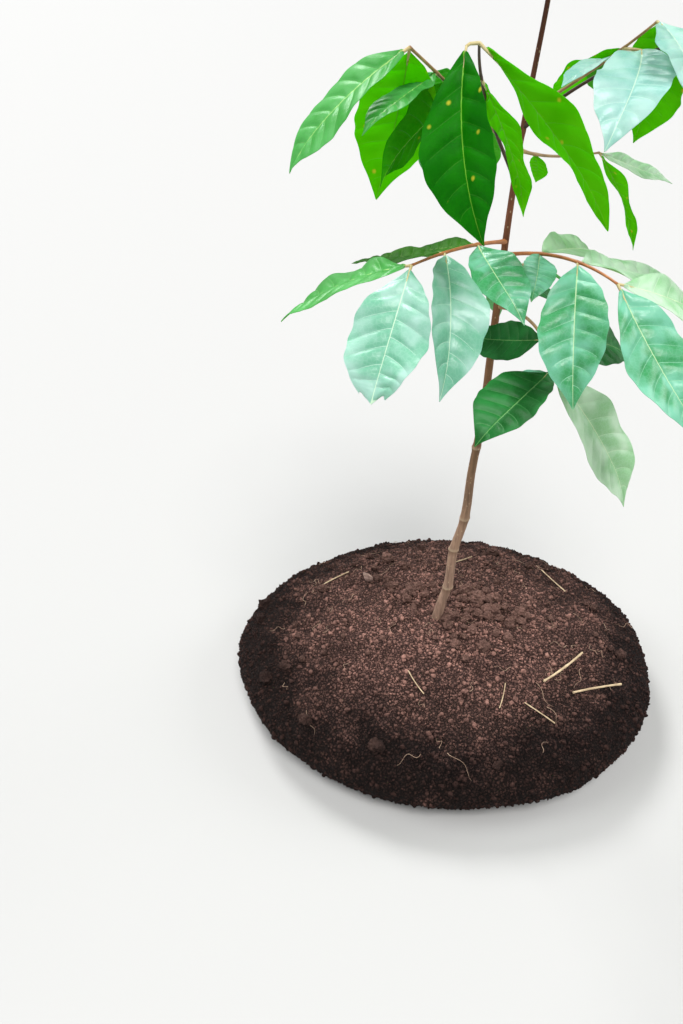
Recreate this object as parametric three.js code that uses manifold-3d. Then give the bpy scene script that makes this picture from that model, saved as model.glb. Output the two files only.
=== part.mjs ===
// Sapling with root ball: one slim stem that rises out of a dome of soil and carries compound leaves.
// Millimetres, +Z up. The origin is the middle of the flat underside that the root ball stands on.
// Headings are degrees from +X towards +Y. A pitch below zero hangs down.

import * as THREE from "three";
import { mergeVertices } from "three/addons/utils/BufferGeometryUtils.js";
import Module from "manifold-3d";

const wasm = await Module();
wasm.setup();

// Root ball
const ballWidth = 660;
const ballDepth = 570;
const ballSides = 60;
// Half outline from the underside up to the crown: share of the half width, height
const ballOutline = [
  [0.76, 0],
  [0.87, 9],
  [0.96, 26],
  [1, 48],
  [0.98, 70],
  [0.9, 93],
  [0.75, 116],
  [0.55, 138],
  [0.33, 153],
  [0.14, 161],
  [0.03, 163],
];
const domeStep = 0.08; // largest spacing of the rings over the dome, as a share of the half width
const ballWaist = 48; // height of its widest ring
const ballLump = 6; // how far the low swells of the soil rise and sink
const knollHeight = 4.5; // how far the knolls of the dome rise and sink, some 60 apart
const knollRim = 0.9; // share of the half width from which they fade out
// Clods that lie where they show: right, back, width
const seenClods = [
  [-293, 77, 27],
  [-251, -90, 20],
  [-280, -95, 23],
  [-218, -178, 20],
  [-119, -229, 22],
  [47, 4, 26],
  [64, -19, 25],
  [44, -90, 19],
  [78, 8, 18],
  [-42, 34, 18],
  [90, -42, 17],
];
const moreClods = 9;
const moreClodSize = [12, 24]; // smallest and largest width of the clods out of sight
const clodBand = [0.3, 0.8]; // where they lie, as shares of the half width
const clodHeadings = [10, 170]; // on the back of the ball
const clodSunk = 0.12; // share of a clod's half width that its middle lies under the surface

// Stem
const foot = new THREE.Vector3(-20, -35, 160); // where the stem meets the soil
const footDepth = 10; // how far its flat cut stands in the soil
const clearance = 0.3; // gap between the stem and what touches it
const stemSides = 12;
const stemStep = 40; // largest spacing of its rings
// Height above the soil, lean to the right, lean to the back, diameter
const stemLine = [
  [-10, -1, 0, 18.5],
  [0, 0, 0, 16.6],
  [32, 5, 0, 14.3],
  [63, 12, 0, 13.4],
  [126, 15, 0, 12.9],
  [184, 26, 0, 12.5],
  [262, 29, 0, 10.9],
  [337, 35, 0, 10.2],
  [457, 37, 0, 9],
  [568, 39, 0, 7.4],
  [670, 43, 0, 6.1],
  [789, 53, 0, 4.9],
  [900, 61, 8, 4.4],
  [1000, 63, 20, 3.8],
  [1030, 63, 24, 3.4],
];
const budLine = [
  [1038, 63, 25, 5],
  [1050, 62, 27, 3.2],
  [1060, 61, 29, 0.8],
];
const scarHeights = [60, 130, 183, 296]; // rings left by fallen leaves
const scarRise = 0.11; // how much a scar widens the stem
const scarReach = 5; // how far a scar spreads along the stem

// Compound leaf
const stalkSides = 6;
const stalkRings = 8;
const stalkWidth = [4.6, 2.4]; // diameter beside the stem and at the far end
const stalkSwell = 1.35; // how much thicker the first few millimetres are
const stalkSwellReach = 10;
// For a leaflet without values of its own
const bladeArch = 0.07; // rise of the midrib over its chord, as a share of the length
const bladeFold = 0.14; // rise of the margins over the midrib, as a share of the half width
const bladeThickness = 0.013; // at the midrib, as a share of the length
const stalkletWidth = 3.2; // at most, and at most this share of the leaflet's length
const stalkletShare = 0.03;
const rootSunk = 1.4; // how far a leaflet's root goes past the middle of the stalk
// Outline of a leaflet with a drip tip: share of the length, share of the half width
const bladeOutline = [
  [0.05, 0.06],
  [0.15, 0.46],
  [0.3, 0.83],
  [0.5, 1],
  [0.67, 0.92],
  [0.8, 0.65],
  [0.91, 0.24],
  [1, 0.02],
];

// Each leaf: height on the stem, heading, reach, lift, arch and sideways bow of its stalk.
// Each leaflet: share of the stalk, length, width, heading, pitch, roll about its midrib, and, where
// they show, its arch, its fold, the sideways bow of its midrib and a stalklet of its own.
const seenLeaves = [
  {
    name: "leaf_low_right", height: 487, heading: -71, reach: 127, lift: -30, arch: 12, bow: 13,
    leaflets: [
      [0.69, 101, 47, -159, 10, 99, { arch: 0.01, fold: 0.1, bow: -2 }],
      [0.69, 136, 66, 23, -17, -38, { arch: 0.05, fold: 0.09, bow: -6 }],
      [1, 126, 72, -139, -21, -2, { arch: 0.05, fold: 0.38, bow: -5 }],
      [1, 199, 76, -9, -55, -33, { arch: 0.02, fold: 0.16, bow: -9 }],
      [1, 117, 56, 114, -56, 70],
    ],
  },
  {
    name: "leaf_low_back", height: 472, heading: 66, reach: 155, lift: 25, arch: 12, bow: 4,
    leaflets: [
      [0.56, 119, 50, 10, -38, -15],
      [0.56, 110, 46, 130, -45, 15],
      [1, 130, 60, 34, -34, -15],
      [1, 136, 56, 100, -50, 15],
    ],
  },
  {
    name: "leaf_mid_right", height: 546, heading: -66, reach: 186, lift: 21, arch: 11, bow: 5,
    leaflets: [
      [0.31, 71, 36, -105, -26, 18, { arch: 0.08, fold: 0.33 }],
      [0.31, 141, 57, 48, -11, -15, { arch: 0.05, fold: 0.18, bow: 4 }],
      [0.65, 152, 65, -97, -47, -15, { arch: 0.1, fold: 0.38 }],
      [0.65, 167, 65, 30, -16, -13, { arch: 0, fold: 0.12, bow: -4 }],
      [1, 166, 74, -50, -44, -16, { arch: 0.02, fold: 0.18, bow: 7 }],
      [1, 147, 61, 14, -24, -25, { arch: 0.06, fold: 0.05 }],
    ],
  },
  {
    name: "leaf_mid_left", height: 561, heading: -125, reach: 209, lift: 24, arch: 5, bow: 0,
    leaflets: [
      [0.35, 113, 55, -67, -26, -10, { arch: 0.09, fold: 0.22, bow: 7 }],
      [0.35, 121, 51, 133, -17, 11, { arch: 0.01, fold: 0.02 }],
      [0.7, 157, 65, -93, -40, 29, { arch: 0.13, fold: 0.44, bow: 6 }],
      [0.7, 125, 50, 138, -14, 5, { arch: 0, fold: 0, bow: -1 }],
      [1, 159, 72, 156, -27, 9, { arch: 0.04, fold: 0.04, bow: 9 }],
      [1, 146, 78, -115, -48, -4, { arch: 0.05, fold: 0.13, bow: -3 }],
    ],
  },
  {
    name: "leaf_front", height: 628, heading: -116, reach: 167, lift: 133, arch: 11, bow: -13,
    leaflets: [
      [0.7, 152, 39, 36, -56, -5, { arch: 0.06, fold: 0.08, bow: -7 }],
      [0.7, 142, 58, -142, -31, -66, { arch: 0.05, fold: 0.19, bow: -2 }],
      [1, 189, 69, -19, -46, 33, { arch: 0.03, fold: 0.16, bow: 1 }],
      [1, 158, 65, -75, -65, -53, { arch: 0.09, fold: 0.36, bow: 3, neckLength: 17, neckHeading: -135 }],
    ],
  },
  {
    name: "leaf_upper_left", height: 650, heading: -128, reach: 216, lift: 109, arch: 8, bow: -10,
    leaflets: [
      [0.74, 104, 38, -134, -20, -1, { arch: 0.04, fold: 0.11, bow: -5 }],
      [0.74, 105, 50, 95, -22, 5],
      [1, 138, 57, -180, -42, 25, { arch: 0.06, fold: 0.08, bow: 1 }],
      [1, 160, 73, 103, -56, -17, { arch: 0.07, fold: 0.21, bow: 3 }],
    ],
  },
  {
    name: "leaf_back_right", height: 656, heading: 41, reach: 153, lift: -19, arch: -6, bow: 8,
    leaflets: [
      [0.25, 33, 26, 56, -67, -20],
      [0.66, 52, 28, 73, 10, 55],
      [1, 105, 37, 5, -19, -24, { arch: 0, fold: 0.07, bow: 1 }],
      [1, 120, 39, -44, -56, 47, { arch: 0.05, fold: 0.15, bow: 2 }],
    ],
  },
  {
    name: "leaf_back", height: 666, heading: 105, reach: 166, lift: 36, arch: 9, bow: 3,
    leaflets: [
      [0.63, 84, 40, 20, -45, -15],
      [0.63, 88, 44, 180, -60, 15],
      [1, 133, 60, 120, -60, 10],
      [1, 140, 60, 50, -60, -10],
    ],
  },
  {
    name: "leaf_right_front", height: 677, heading: -43, reach: 200, lift: 88, arch: 21, bow: 0,
    leaflets: [
      [0.76, 112, 54, 30, -20, 12],
      [0.84, 110, 56, -72, -3, -12],
      [1, 135, 64, -60, -38, -10],
      [1, 130, 62, -5, -30, 10],
    ],
  },
  {
    name: "leaf_right", height: 692, heading: -46, reach: 125, lift: 82, arch: 0, bow: 12,
    leaflets: [
      [0.6, 94, 32, -128, -8, -10, { arch: 0.05, fold: 0.17, bow: -7 }],
      [0.6, 85, 50, 60, -30, 10],
      [0.73, 125, 64, -116, -31, -1, { arch: 0.1, fold: 0.3, bow: -8, neckLength: 23, neckHeading: -62 }],
      [0.73, 106, 42, 117, -30, -5, { arch: 0.07, fold: 0.13, bow: 6 }],
      [1, 108, 54, -80, -30, 10],
      [1, 122, 66, 70, -59, -30],
    ],
  },
];

// The crown above them, which spirals up the stem and grows smaller towards the bud
const crownSeed = 41;
const crownLeaves = 7;
const crownFirst = 800;
const crownSpacing = 34;
const crownHeading = -22;
const crownTurn = -137.5;
const crownReach = [172, 66]; // stalk of the lowest and of the highest leaf
const crownLift = [0.72, 1.3]; // rise of the stalk as a share of its reach
const crownLength = [158, 60]; // longest leaflet of the lowest and of the highest leaf
const crownPairs = [0.42, 0.72, 1]; // where the pairs of leaflets stand on the stalk
const crownPairLength = [0.7, 0.88, 1]; // their length as a share of the longest
const crownSpread = [62, 50, 30]; // how far each pair turns away from the stalk
const crownPitch = -30;
const crownJitter = 9;
const crownWidthShare = 0.47;

const up = new THREE.Vector3(0, 0, 1);

// A run of repeatable random numbers from 0 to 1
function seededRandom(seed) {
  let state = seed;
  return () => {
    state = (state * 16807) % 2147483647;
    return state / 2147483647;
  };
}

function mix(range, share) {
  return range[0] + (range[1] - range[0]) * share;
}

function direction(heading, pitch) {
  const h = THREE.MathUtils.degToRad(heading);
  const p = THREE.MathUtils.degToRad(pitch);
  return new THREE.Vector3(Math.cos(p) * Math.cos(h), Math.cos(p) * Math.sin(h), Math.sin(p));
}

// Smooth value of one column of rows that are sorted by their first column
function smooth(rows, at, column) {
  const last = rows.length - 1;
  let i = 0;
  while (i < last - 1 && at > rows[i + 1][0]) {
    i += 1;
  }
  const slope = (k) => {
    const a = rows[Math.max(k - 1, 0)];
    const b = rows[Math.min(k + 1, last)];
    return (b[column] - a[column]) / (b[0] - a[0]);
  };
  const span = rows[i + 1][0] - rows[i][0];
  const t = (at - rows[i][0]) / span;
  const rise = rows[i + 1][column] - rows[i][column];
  const start = slope(i) * span;
  const end = slope(i + 1) * span;
  return rows[i][column] + t * (start + t * (3 * rise - 2 * start - end + t * (start + end - 2 * rise)));
}

// Closed skin over rings of equally many points, each ring counter-clockwise about the way it travels
function loft(rings) {
  const sides = rings[0].length;
  const index = [];
  for (let r = 0; r < rings.length - 1; r += 1) {
    for (let i = 0; i < sides; i += 1) {
      const j = (i + 1) % sides;
      const a = r * sides;
      const b = a + sides;
      index.push(a + i, a + j, b + j, a + i, b + j, b + i);
    }
  }
  const top = (rings.length - 1) * sides;
  for (let i = 1; i < sides - 1; i += 1) {
    index.push(0, i + 1, i, top, top + i, top + i + 1);
  }
  const geometry = new THREE.BufferGeometry();
  geometry.setFromPoints(rings.flat());
  geometry.setIndex(index);
  return geometry;
}

function toSolid(geometry) {
  const plain = geometry.clone();
  plain.deleteAttribute("normal");
  plain.deleteAttribute("uv");
  const merged = mergeVertices(plain);
  return new wasm.Manifold(new wasm.Mesh({
    numProp: 3,
    vertProperties: new Float32Array(merged.attributes.position.array),
    triVerts: new Uint32Array(merged.index.array),
  }));
}

// The largest body of a solid, without loose scraps or sealed hollows
function wholeBody(solid) {
  const bodies = solid.decompose();
  return bodies.reduce((best, body) => (body.volume() > best.volume() ? body : best));
}

function toGeometry(solid) {
  const mesh = solid.getMesh();
  const geometry = new THREE.BufferGeometry();
  geometry.setAttribute("position", new THREE.BufferAttribute(mesh.vertProperties, 3));
  geometry.setIndex(new THREE.BufferAttribute(mesh.triVerts, 1));
  geometry.computeVertexNormals();
  return geometry;
}

// Stem

const wholeStemLine = [...stemLine, ...budLine];
const stemTop = budLine[budLine.length - 1][0];

function stemPoint(height) {
  return new THREE.Vector3(
    foot.x + smooth(wholeStemLine, height, 1),
    foot.y + smooth(wholeStemLine, height, 2),
    foot.z + height,
  );
}

function stemRadius(height) {
  const scars = scarHeights.map((at) => Math.exp(-(((height - at) / scarReach) ** 2)));
  return (smooth(wholeStemLine, height, 3) / 2) * (1 + scarRise * Math.max(...scars));
}

function stemHeights() {
  const heights = new Set(wholeStemLine.map((row) => row[0]));
  for (const at of scarHeights) {
    [-1.5, 0, 1.5].forEach((share) => heights.add(at + share * scarReach));
  }
  const sorted = [...heights].sort((a, b) => a - b);
  const filled = [];
  for (let i = 0; i < sorted.length - 1; i += 1) {
    const span = sorted[i + 1] - sorted[i];
    const steps = Math.ceil(span / stemStep);
    for (let k = 0; k < steps; k += 1) {
      filled.push(sorted[i] + (span * k) / steps);
    }
  }
  filled.push(stemTop);
  return filled;
}

function stemSolid(extra) {
  const rings = stemHeights().map((height) => {
    const centre = stemPoint(height);
    const radius = stemRadius(height) + extra;
    const ring = [];
    for (let i = 0; i < stemSides; i += 1) {
      const angle = (2 * Math.PI * i) / stemSides;
      ring.push(new THREE.Vector3(
        centre.x + radius * Math.cos(angle),
        centre.y + radius * Math.sin(angle),
        height <= -footDepth ? centre.z - extra : centre.z,
      ));
    }
    return ring;
  });
  return toSolid(loft(rings));
}

// Root ball

// Swells of the soil, from -1 to 1, round the ball and down its side
function soilSwell(angle, share) {
  return 0.5 * Math.sin(3 * angle + 5 * share + 0.6)
    + 0.3 * Math.sin(5 * angle - 9 * share + 2.1)
    + 0.2 * Math.sin(9 * angle + 14 * share + 4);
}

// Knolls of the dome, from -1 to 1
function soilKnoll(right, back) {
  const near = Math.sin(right / 9.6 + 1.4 * Math.sin(back / 31))
    * Math.cos(back / 10.8 + 1.2 * Math.sin(right / 27));
  const wide = Math.sin((right + 0.6 * back) / 14.5 + 0.9) * Math.sin((back - 0.5 * right) / 13 + 2);
  return 0.6 * near + 0.4 * wide;
}

function ballPoint(angle, share, height) {
  const lump = height > 0 ? ballLump * soilSwell(angle, share) : 0;
  const grow = share + lump / (ballWidth / 2);
  const right = (ballWidth / 2) * grow * Math.cos(angle);
  const back = (ballDepth / 2) * grow * Math.sin(angle);
  const knoll = height > ballWaist ? knollHeight * soilKnoll(right, back) : 0;
  const fade = Math.min(1, (1 - share) / (1 - knollRim));
  return new THREE.Vector3(right, back, height > 0 ? height + 0.5 * lump * (1 - share) + knoll * fade : 0);
}

// Height of the smooth dome at a share of the half width
function domeHeight(share) {
  const upper = ballOutline.filter((row) => row[1] >= ballWaist).reverse();
  return smooth(upper, share, 1);
}

function clodSolid(right, back, size, random) {
  const clod = new THREE.IcosahedronGeometry(size / 2, 0);
  clod.scale(1, mix([0.75, 1], random()), mix([0.65, 0.85], random()));
  clod.rotateZ(Math.PI * random());
  const share = Math.hypot(right / (ballWidth / 2), back / (ballDepth / 2));
  const angle = Math.atan2(back / ballDepth, right / ballWidth);
  const place = ballPoint(angle, share, domeHeight(share));
  clod.translate(right, back, place.z - clodSunk * size * 0.5);
  return toSolid(clod);
}

function allClods(random) {
  const clods = [...seenClods];
  for (let i = 0; i < moreClods; i += 1) {
    const heading = THREE.MathUtils.degToRad(mix(clodHeadings, random()));
    const share = mix(clodBand, random());
    clods.push([
      (ballWidth / 2) * share * Math.cos(heading),
      (ballDepth / 2) * share * Math.sin(heading),
      mix(moreClodSize, random() ** 2),
    ]);
  }
  return clods;
}

// The outline with further rings over the dome, so that its knolls have faces
function ballRings() {
  const rings = [];
  ballOutline.forEach(([share, height], i) => {
    const before = i > 0 ? ballOutline[i - 1][0] : share;
    const steps = height > ballWaist ? Math.ceil((before - share) / domeStep - 1e-6) : 1;
    for (let k = 1; k < steps; k += 1) {
      const at = before + ((share - before) * k) / steps;
      rings.push([at, domeHeight(at)]);
    }
    rings.push([share, height]);
  });
  return rings;
}

function ballSolid() {
  const rings = ballRings().map(([share, height]) => {
    const ring = [];
    for (let i = 0; i < ballSides; i += 1) {
      ring.push(ballPoint((2 * Math.PI * i) / ballSides, share, height));
    }
    return ring;
  });
  const random = seededRandom(7);
  let ball = toSolid(loft(rings));
  for (const [right, back, size] of allClods(random)) {
    ball = ball.add(clodSolid(right, back, size, random));
  }
  return wholeBody(ball.subtract(stemSolid(clearance)));
}

// Compound leaves

function stalkPoint(leaf, share) {
  const hump = 4 * share * (1 - share);
  return stemPoint(leaf.height)
    .addScaledVector(direction(leaf.heading, 0), leaf.reach * share)
    .addScaledVector(direction(leaf.heading + 90, 0), leaf.bow * hump)
    .addScaledVector(up, leaf.lift * share + leaf.arch * hump);
}

function stalkSolid(leaf) {
  const rings = [];
  for (let k = 0; k <= stalkRings; k += 1) {
    const share = (k / stalkRings) ** 1.4;
    const along = share * leaf.reach;
    const swell = 1 + (stalkSwell - 1) * Math.exp(-((along / stalkSwellReach) ** 2));
    const radius = (mix(leaf.stalkWidth, share) / 2) * swell;
    const travel = stalkPoint(leaf, share + 0.01).sub(stalkPoint(leaf, share - 0.01)).normalize();
    const side = travel.clone().cross(up).normalize();
    const over = side.clone().cross(travel);
    const ring = [];
    for (let i = 0; i < stalkSides; i += 1) {
      const angle = (2 * Math.PI * i) / stalkSides;
      ring.push(stalkPoint(leaf, share)
        .addScaledVector(over, radius * Math.cos(angle))
        .addScaledVector(side, radius * Math.sin(angle)));
    }
    rings.push(ring);
  }
  return toSolid(loft(rings));
}

function leafletSolid(leaf, row) {
  const [share, length, width, heading, pitch, roll, own = {}] = row;
  const { arch = bladeArch, fold = bladeFold, bow = 0, neckLength = 0, neckHeading = 0 } = own;
  const travel = direction(heading, pitch);
  const level = direction(heading - 90, 0);
  const top = direction(heading, pitch + 90);
  const turn = THREE.MathUtils.degToRad(roll);
  const side = level.clone().multiplyScalar(Math.cos(turn)).addScaledVector(top, Math.sin(turn));
  const normal = side.clone().cross(travel);
  const neckTravel = neckLength > 0 ? direction(neckHeading, 0) : travel;
  const root = stalkPoint(leaf, share).addScaledVector(neckTravel, -rootSunk);
  const base = stalkPoint(leaf, share).addScaledVector(neckTravel, neckLength);
  const section = (middle, half, thick) => {
    const rise = half > stalkletWidth ? fold * half : 0;
    return [
      middle.clone().addScaledVector(normal, thick / 2),
      middle.clone().addScaledVector(side, half).addScaledVector(normal, rise),
      middle.clone().addScaledVector(normal, -thick / 2),
      middle.clone().addScaledVector(side, -half).addScaledVector(normal, rise),
    ];
  };
  const neck = Math.min(stalkletWidth, stalkletShare * length);
  const rings = [section(root, neck / 2, neck)];
  for (const [s, w] of bladeOutline) {
    const hump = 4 * s * (1 - s);
    const middle = base.clone()
      .addScaledVector(travel, s * length)
      .addScaledVector(normal, arch * length * hump)
      .addScaledVector(side, bow * hump);
    const thick = bladeThickness * length * (1.25 - 0.5 * s);
    if (s < 0.1) {
      rings.push(section(middle, neck / 2, neck));
    } else {
      rings.push(section(middle, (w * width) / 2, thick));
    }
  }
  return toSolid(loft(rings));
}

function leafSolid(leaf, fatStem) {
  let solid = stalkSolid(leaf);
  for (const row of leaf.leaflets) {
    solid = solid.add(leafletSolid(leaf, row));
  }
  return wholeBody(solid.subtract(fatStem));
}

function crownLeaf(number, random) {
  const share = number / (crownLeaves - 1);
  const heading = crownHeading + crownTurn * number;
  const reach = mix(crownReach, share);
  const longest = mix(crownLength, share);
  const leaflets = [];
  crownPairs.forEach((place, pair) => {
    for (const hand of [-1, 1]) {
      const length = longest * crownPairLength[pair] * mix([0.92, 1.08], random());
      leaflets.push([
        place,
        length,
        length * crownWidthShare,
        heading + hand * (crownSpread[pair] + crownJitter * mix([-1, 1], random())),
        crownPitch + crownJitter * mix([-1, 1], random()),
        -hand * mix([4, 18], random()),
      ]);
    }
  });
  return {
    name: `leaf_crown_${number + 1}`,
    height: crownFirst + crownSpacing * number,
    heading,
    reach,
    lift: reach * mix(crownLift, share),
    arch: 0.06 * reach,
    bow: 0,
    leaflets,
  };
}

function allLeaves() {
  const random = seededRandom(crownSeed);
  const leaves = [...seenLeaves];
  for (let i = 0; i < crownLeaves; i += 1) {
    leaves.push(crownLeaf(i, random));
  }
  for (const leaf of leaves) {
    const thickest = Math.min(stalkWidth[0], (1.7 * stemRadius(leaf.height)) / stalkSwell);
    leaf.stalkWidth = [thickest, Math.min(stalkWidth[1], 0.6 * thickest)];
  }
  return leaves;
}

// The plant

const bark = new THREE.MeshStandardMaterial({ color: 0x8a6248, roughness: 0.8, metalness: 0 });
const leafGreen = new THREE.MeshStandardMaterial({ color: 0x3f8a3a, roughness: 0.42, metalness: 0 });
const soil = new THREE.MeshStandardMaterial({ color: 0x5b4236, roughness: 0.95, metalness: 0 });

function subPart(name, solid, material) {
  const mesh = new THREE.Mesh(toGeometry(solid), material);
  mesh.name = name;
  return mesh;
}

const plant = new THREE.Group();
const fatStem = stemSolid(clearance);
plant.add(subPart("root_ball", ballSolid(), soil));
plant.add(subPart("stem", stemSolid(0), bark));
for (const leaf of allLeaves()) {
  plant.add(subPart(leaf.name, leafSolid(leaf, fatStem), leafGreen));
}

export default plant;
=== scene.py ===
"""A young tree with compound leaves, which stands on the ball of soil round its roots.

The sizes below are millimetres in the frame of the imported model: +Z up, with the origin in the middle
of the flat underside. Meshes are turned into metres as they are made. Sizes in finishes and in node
trees are metres from the start. Headings are degrees from +X towards +Y, and a pitch below zero hangs
down.
"""

import math

import bpy
import numpy as np
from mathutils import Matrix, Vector, noise


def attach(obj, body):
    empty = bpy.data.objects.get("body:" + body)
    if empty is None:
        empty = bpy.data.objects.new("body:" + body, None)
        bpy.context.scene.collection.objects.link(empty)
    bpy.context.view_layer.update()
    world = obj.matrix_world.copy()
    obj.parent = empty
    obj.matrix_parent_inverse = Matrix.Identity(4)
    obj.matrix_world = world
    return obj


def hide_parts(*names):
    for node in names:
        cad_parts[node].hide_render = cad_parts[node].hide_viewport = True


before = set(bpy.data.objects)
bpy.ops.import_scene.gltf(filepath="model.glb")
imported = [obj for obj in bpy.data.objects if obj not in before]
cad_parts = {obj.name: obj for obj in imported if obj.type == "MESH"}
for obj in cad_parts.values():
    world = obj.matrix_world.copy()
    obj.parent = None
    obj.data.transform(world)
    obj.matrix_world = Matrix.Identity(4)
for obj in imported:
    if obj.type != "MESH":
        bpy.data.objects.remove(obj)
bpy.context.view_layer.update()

MM = 0.001
CREASE = 48  # edges that bend by more degrees than this stay sharp
MIDDLE_OF_NOISE = (0.5, 0.5, 0.5)

# Root ball
BALL_WIDTH = 660
BALL_DEPTH = 570
BALL_SIDES = 180
BALL_RINGS = 61
BALL_CREASE = 80
# Half outline from the underside up to the crown: share of the half width, height
BALL_OUTLINE = [
    (0.76, 0), (0.87, 9), (0.96, 26), (1, 48), (0.98, 70), (0.9, 93), (0.75, 116), (0.55, 138),
    (0.33, 153), (0.14, 161), (0.03, 163),
]
BALL_WAIST = 48  # height of its widest ring
BALL_LUMP = 6  # how far the low swells of the soil rise and sink
SOIL_GRAIN = 3.2  # side of the squares that the soil's skin is made of
BARE_RIM = 5  # height under which nothing stands out of the flat underside's edge
KNOLL_HEIGHT = 4.5  # how far the knolls of the dome rise and sink, some 60 apart
KNOLL_RIM = 0.9  # share of the half width from which they fade out
SOIL_SUNK = 1.5  # how far the skin lies under the crumbs that cover it
# Relief of the skin in metres: depth and size of swells and of crumbs, and the lowest place it moves
SOIL_RELIEF = {
    "Swell": 0.006, "Swell Size": 0.03, "Crumb": 0.0042, "Crumb Size": 0.011, "Lowest": 0.001,
}
RELIEF_GROWS = 0.01  # height in metres over that place at which the relief is whole
# Clods that show from a step away: right, back, width
SEEN_CLODS = [
    (-293, 77, 27), (-251, -90, 20), (-280, -95, 23), (-218, -178, 20), (-119, -229, 22),
    (47, 4, 26), (64, -19, 25), (44, -90, 19), (78, 8, 18), (-42, 34, 18), (90, -42, 17),
    (-8, -43, 15), (2, -88, 15), (30, -62, 16), (28, 22, 15), (-58, 22, 14), (-34, 12, 13),
    (14, -112, 13), (66, -66, 14), (120, -28, 13), (-300, 40, 17), (262, -64, 15),
]
# Clods on the back of the ball, as in the solids: headings, shares of the half width, widths
BACK_CLODS = 9
BACK_CLOD_SEED = 7
BACK_CLOD_HEADINGS = (10, 170)
BACK_CLOD_BAND = (0.3, 0.8)
BACK_CLOD_SIZE = (12, 24)
# Small clods heaped round the stem's foot: how many, right, back, reach to either side, reach in depth
HEAPS = [(64, 30, -22, 92, 74), (16, -62, 32, 34, 26)]
HEAP_CLOD_SIZE = (7, 17)
# Small clods all over the ball: how many, widths, shares of the half width
SMALL_CLODS = 40
SMALL_CLOD_SIZE = (8, 16)
SMALL_CLOD_BAND = (0.1, 0.95)
CLOD_SEED = 29
CLOD_ROWS = 15
CLOD_SIDES = 22
CLOD_DEEP = (0.75, 1)  # size from front to back as a share of the width
CLOD_HIGH = (0.7, 0.95)  # height as a share of the width
CLOD_RAISED = 2.6  # thickness of the loose crumbs that the clods lie on
# Knobs of a clod: scale of the noise, rise as a share of the half width
CLOD_KNOBS = ((1.7, 0.4), (3.8, 0.34), (7, 0.16))
CLOD_SUNK = 0.12  # share of a clod's half width that its middle lies under the surface
# Loose crumbs: name, how many on a square metre, smallest and largest width in metres, roundness, seed
CRUMB_LAYERS = [
    ("soil_crumbs_fine_1", 19500, 0.0024, 0.0055, 1, 3),
    ("soil_crumbs_fine_2", 19500, 0.0024, 0.0055, 1, 17),
    ("soil_crumbs_coarse", 4600, 0.0045, 0.0105, 2, 8),
]
CRUMB_CREASE = 34
CRUMB_RARITY = 2.6  # the higher, the fewer crumbs are much larger than the smallest
CRUMB_SQUASH = (1.0, 0.82, 0.66)
CRUMB_DENTS = 330.0  # dents on a metre
CRUMB_DENT = 0.0042  # how far in metres they move a crumb's skin
CRUMB_SUNK = -0.0006  # height in metres at which the shade at a crumb's foot is deepest

# Stem
FOOT = np.array([-20.0, -35.0, 160.0])  # where the stem meets the soil
STEM_SIDES = 36
STEM_STEP = 2
# Height above the soil, lean to the right, lean to the back, diameter
STEM_LINE = [
    (-10, -1, 0, 18.5), (0, 0, 0, 16.6), (32, 5, 0, 14.3), (63, 12, 0, 13.4), (126, 15, 0, 12.9),
    (184, 26, 0, 12.5), (262, 29, 0, 10.9), (337, 35, 0, 10.2), (457, 37, 0, 9), (568, 39, 0, 7.4),
    (670, 43, 0, 6.1), (789, 53, 0, 4.9), (900, 61, 8, 4.4), (1000, 63, 20, 3.8), (1030, 63, 24, 3.4),
    (1038, 63, 25, 5), (1050, 62, 27, 3.2), (1060, 61, 29, 0.8),
]
SCARS = [(60, 20), (130, 175), (183, 20), (296, 140)]  # rings left by fallen leaves: height, heading
SCAR_RISE = 0.08  # how much a scar widens the stem
SCAR_REACH = 5  # how far a scar spreads along the stem
SCAR_LIP = 0.4  # how far its lower edge stands out
SCAR_LIP_REACH = 7  # how fast that lip runs out upwards
SCAR_PALE = 0.0022  # height in metres of the pale edge; the painted shade under a scar's lip spans five times as much
SCAR_BUD_RISE = 0.9  # how far a scar stands out on the side where its leaf was
SCAR_BUD_REACH = 3.2
CUSHION_RISE = 0.28  # how far the stem swells under a leaf, as a share of its radius
CUSHION_DROP = 2.5  # how far under the leaf's height it swells most
CUSHION_REACH = 5
BARK_GRAIN = 0.035  # depth of the grain as a share of the stem's radius

# Compound leaf
STALK_SIDES = 10
STALK_RINGS = 36
STALK_WIDTH = (4.6, 2.4)  # diameter beside the stem and at the far end
STALK_OF_STEM = 1.7 / 1.35  # widest that a stalk may start, as a share of the stem's radius there
STALK_TAPER = 0.6  # widest that its far end may be, as a share of its start
STALK_CUSHION = 0.45  # how much it swells beside the stem
STALK_CUSHION_REACH = 12
KNEE_RISE = 0.22  # how much it swells at a pair of leaflets
KNEE_REACH = 3.5
STALKLET_WIDTH = 2.7
STALKLET_OF_LENGTH = 0.021  # widest that a stalklet may be, as a share of its leaflet's length
STALKLET_SIDES = 8
STALKLET_PLACES = (0.012, 0.03, 0.055, 0.085, 0.12)  # its points along the midrib
BLADE_SHEET = 0.45  # thickness of the blade
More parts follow.
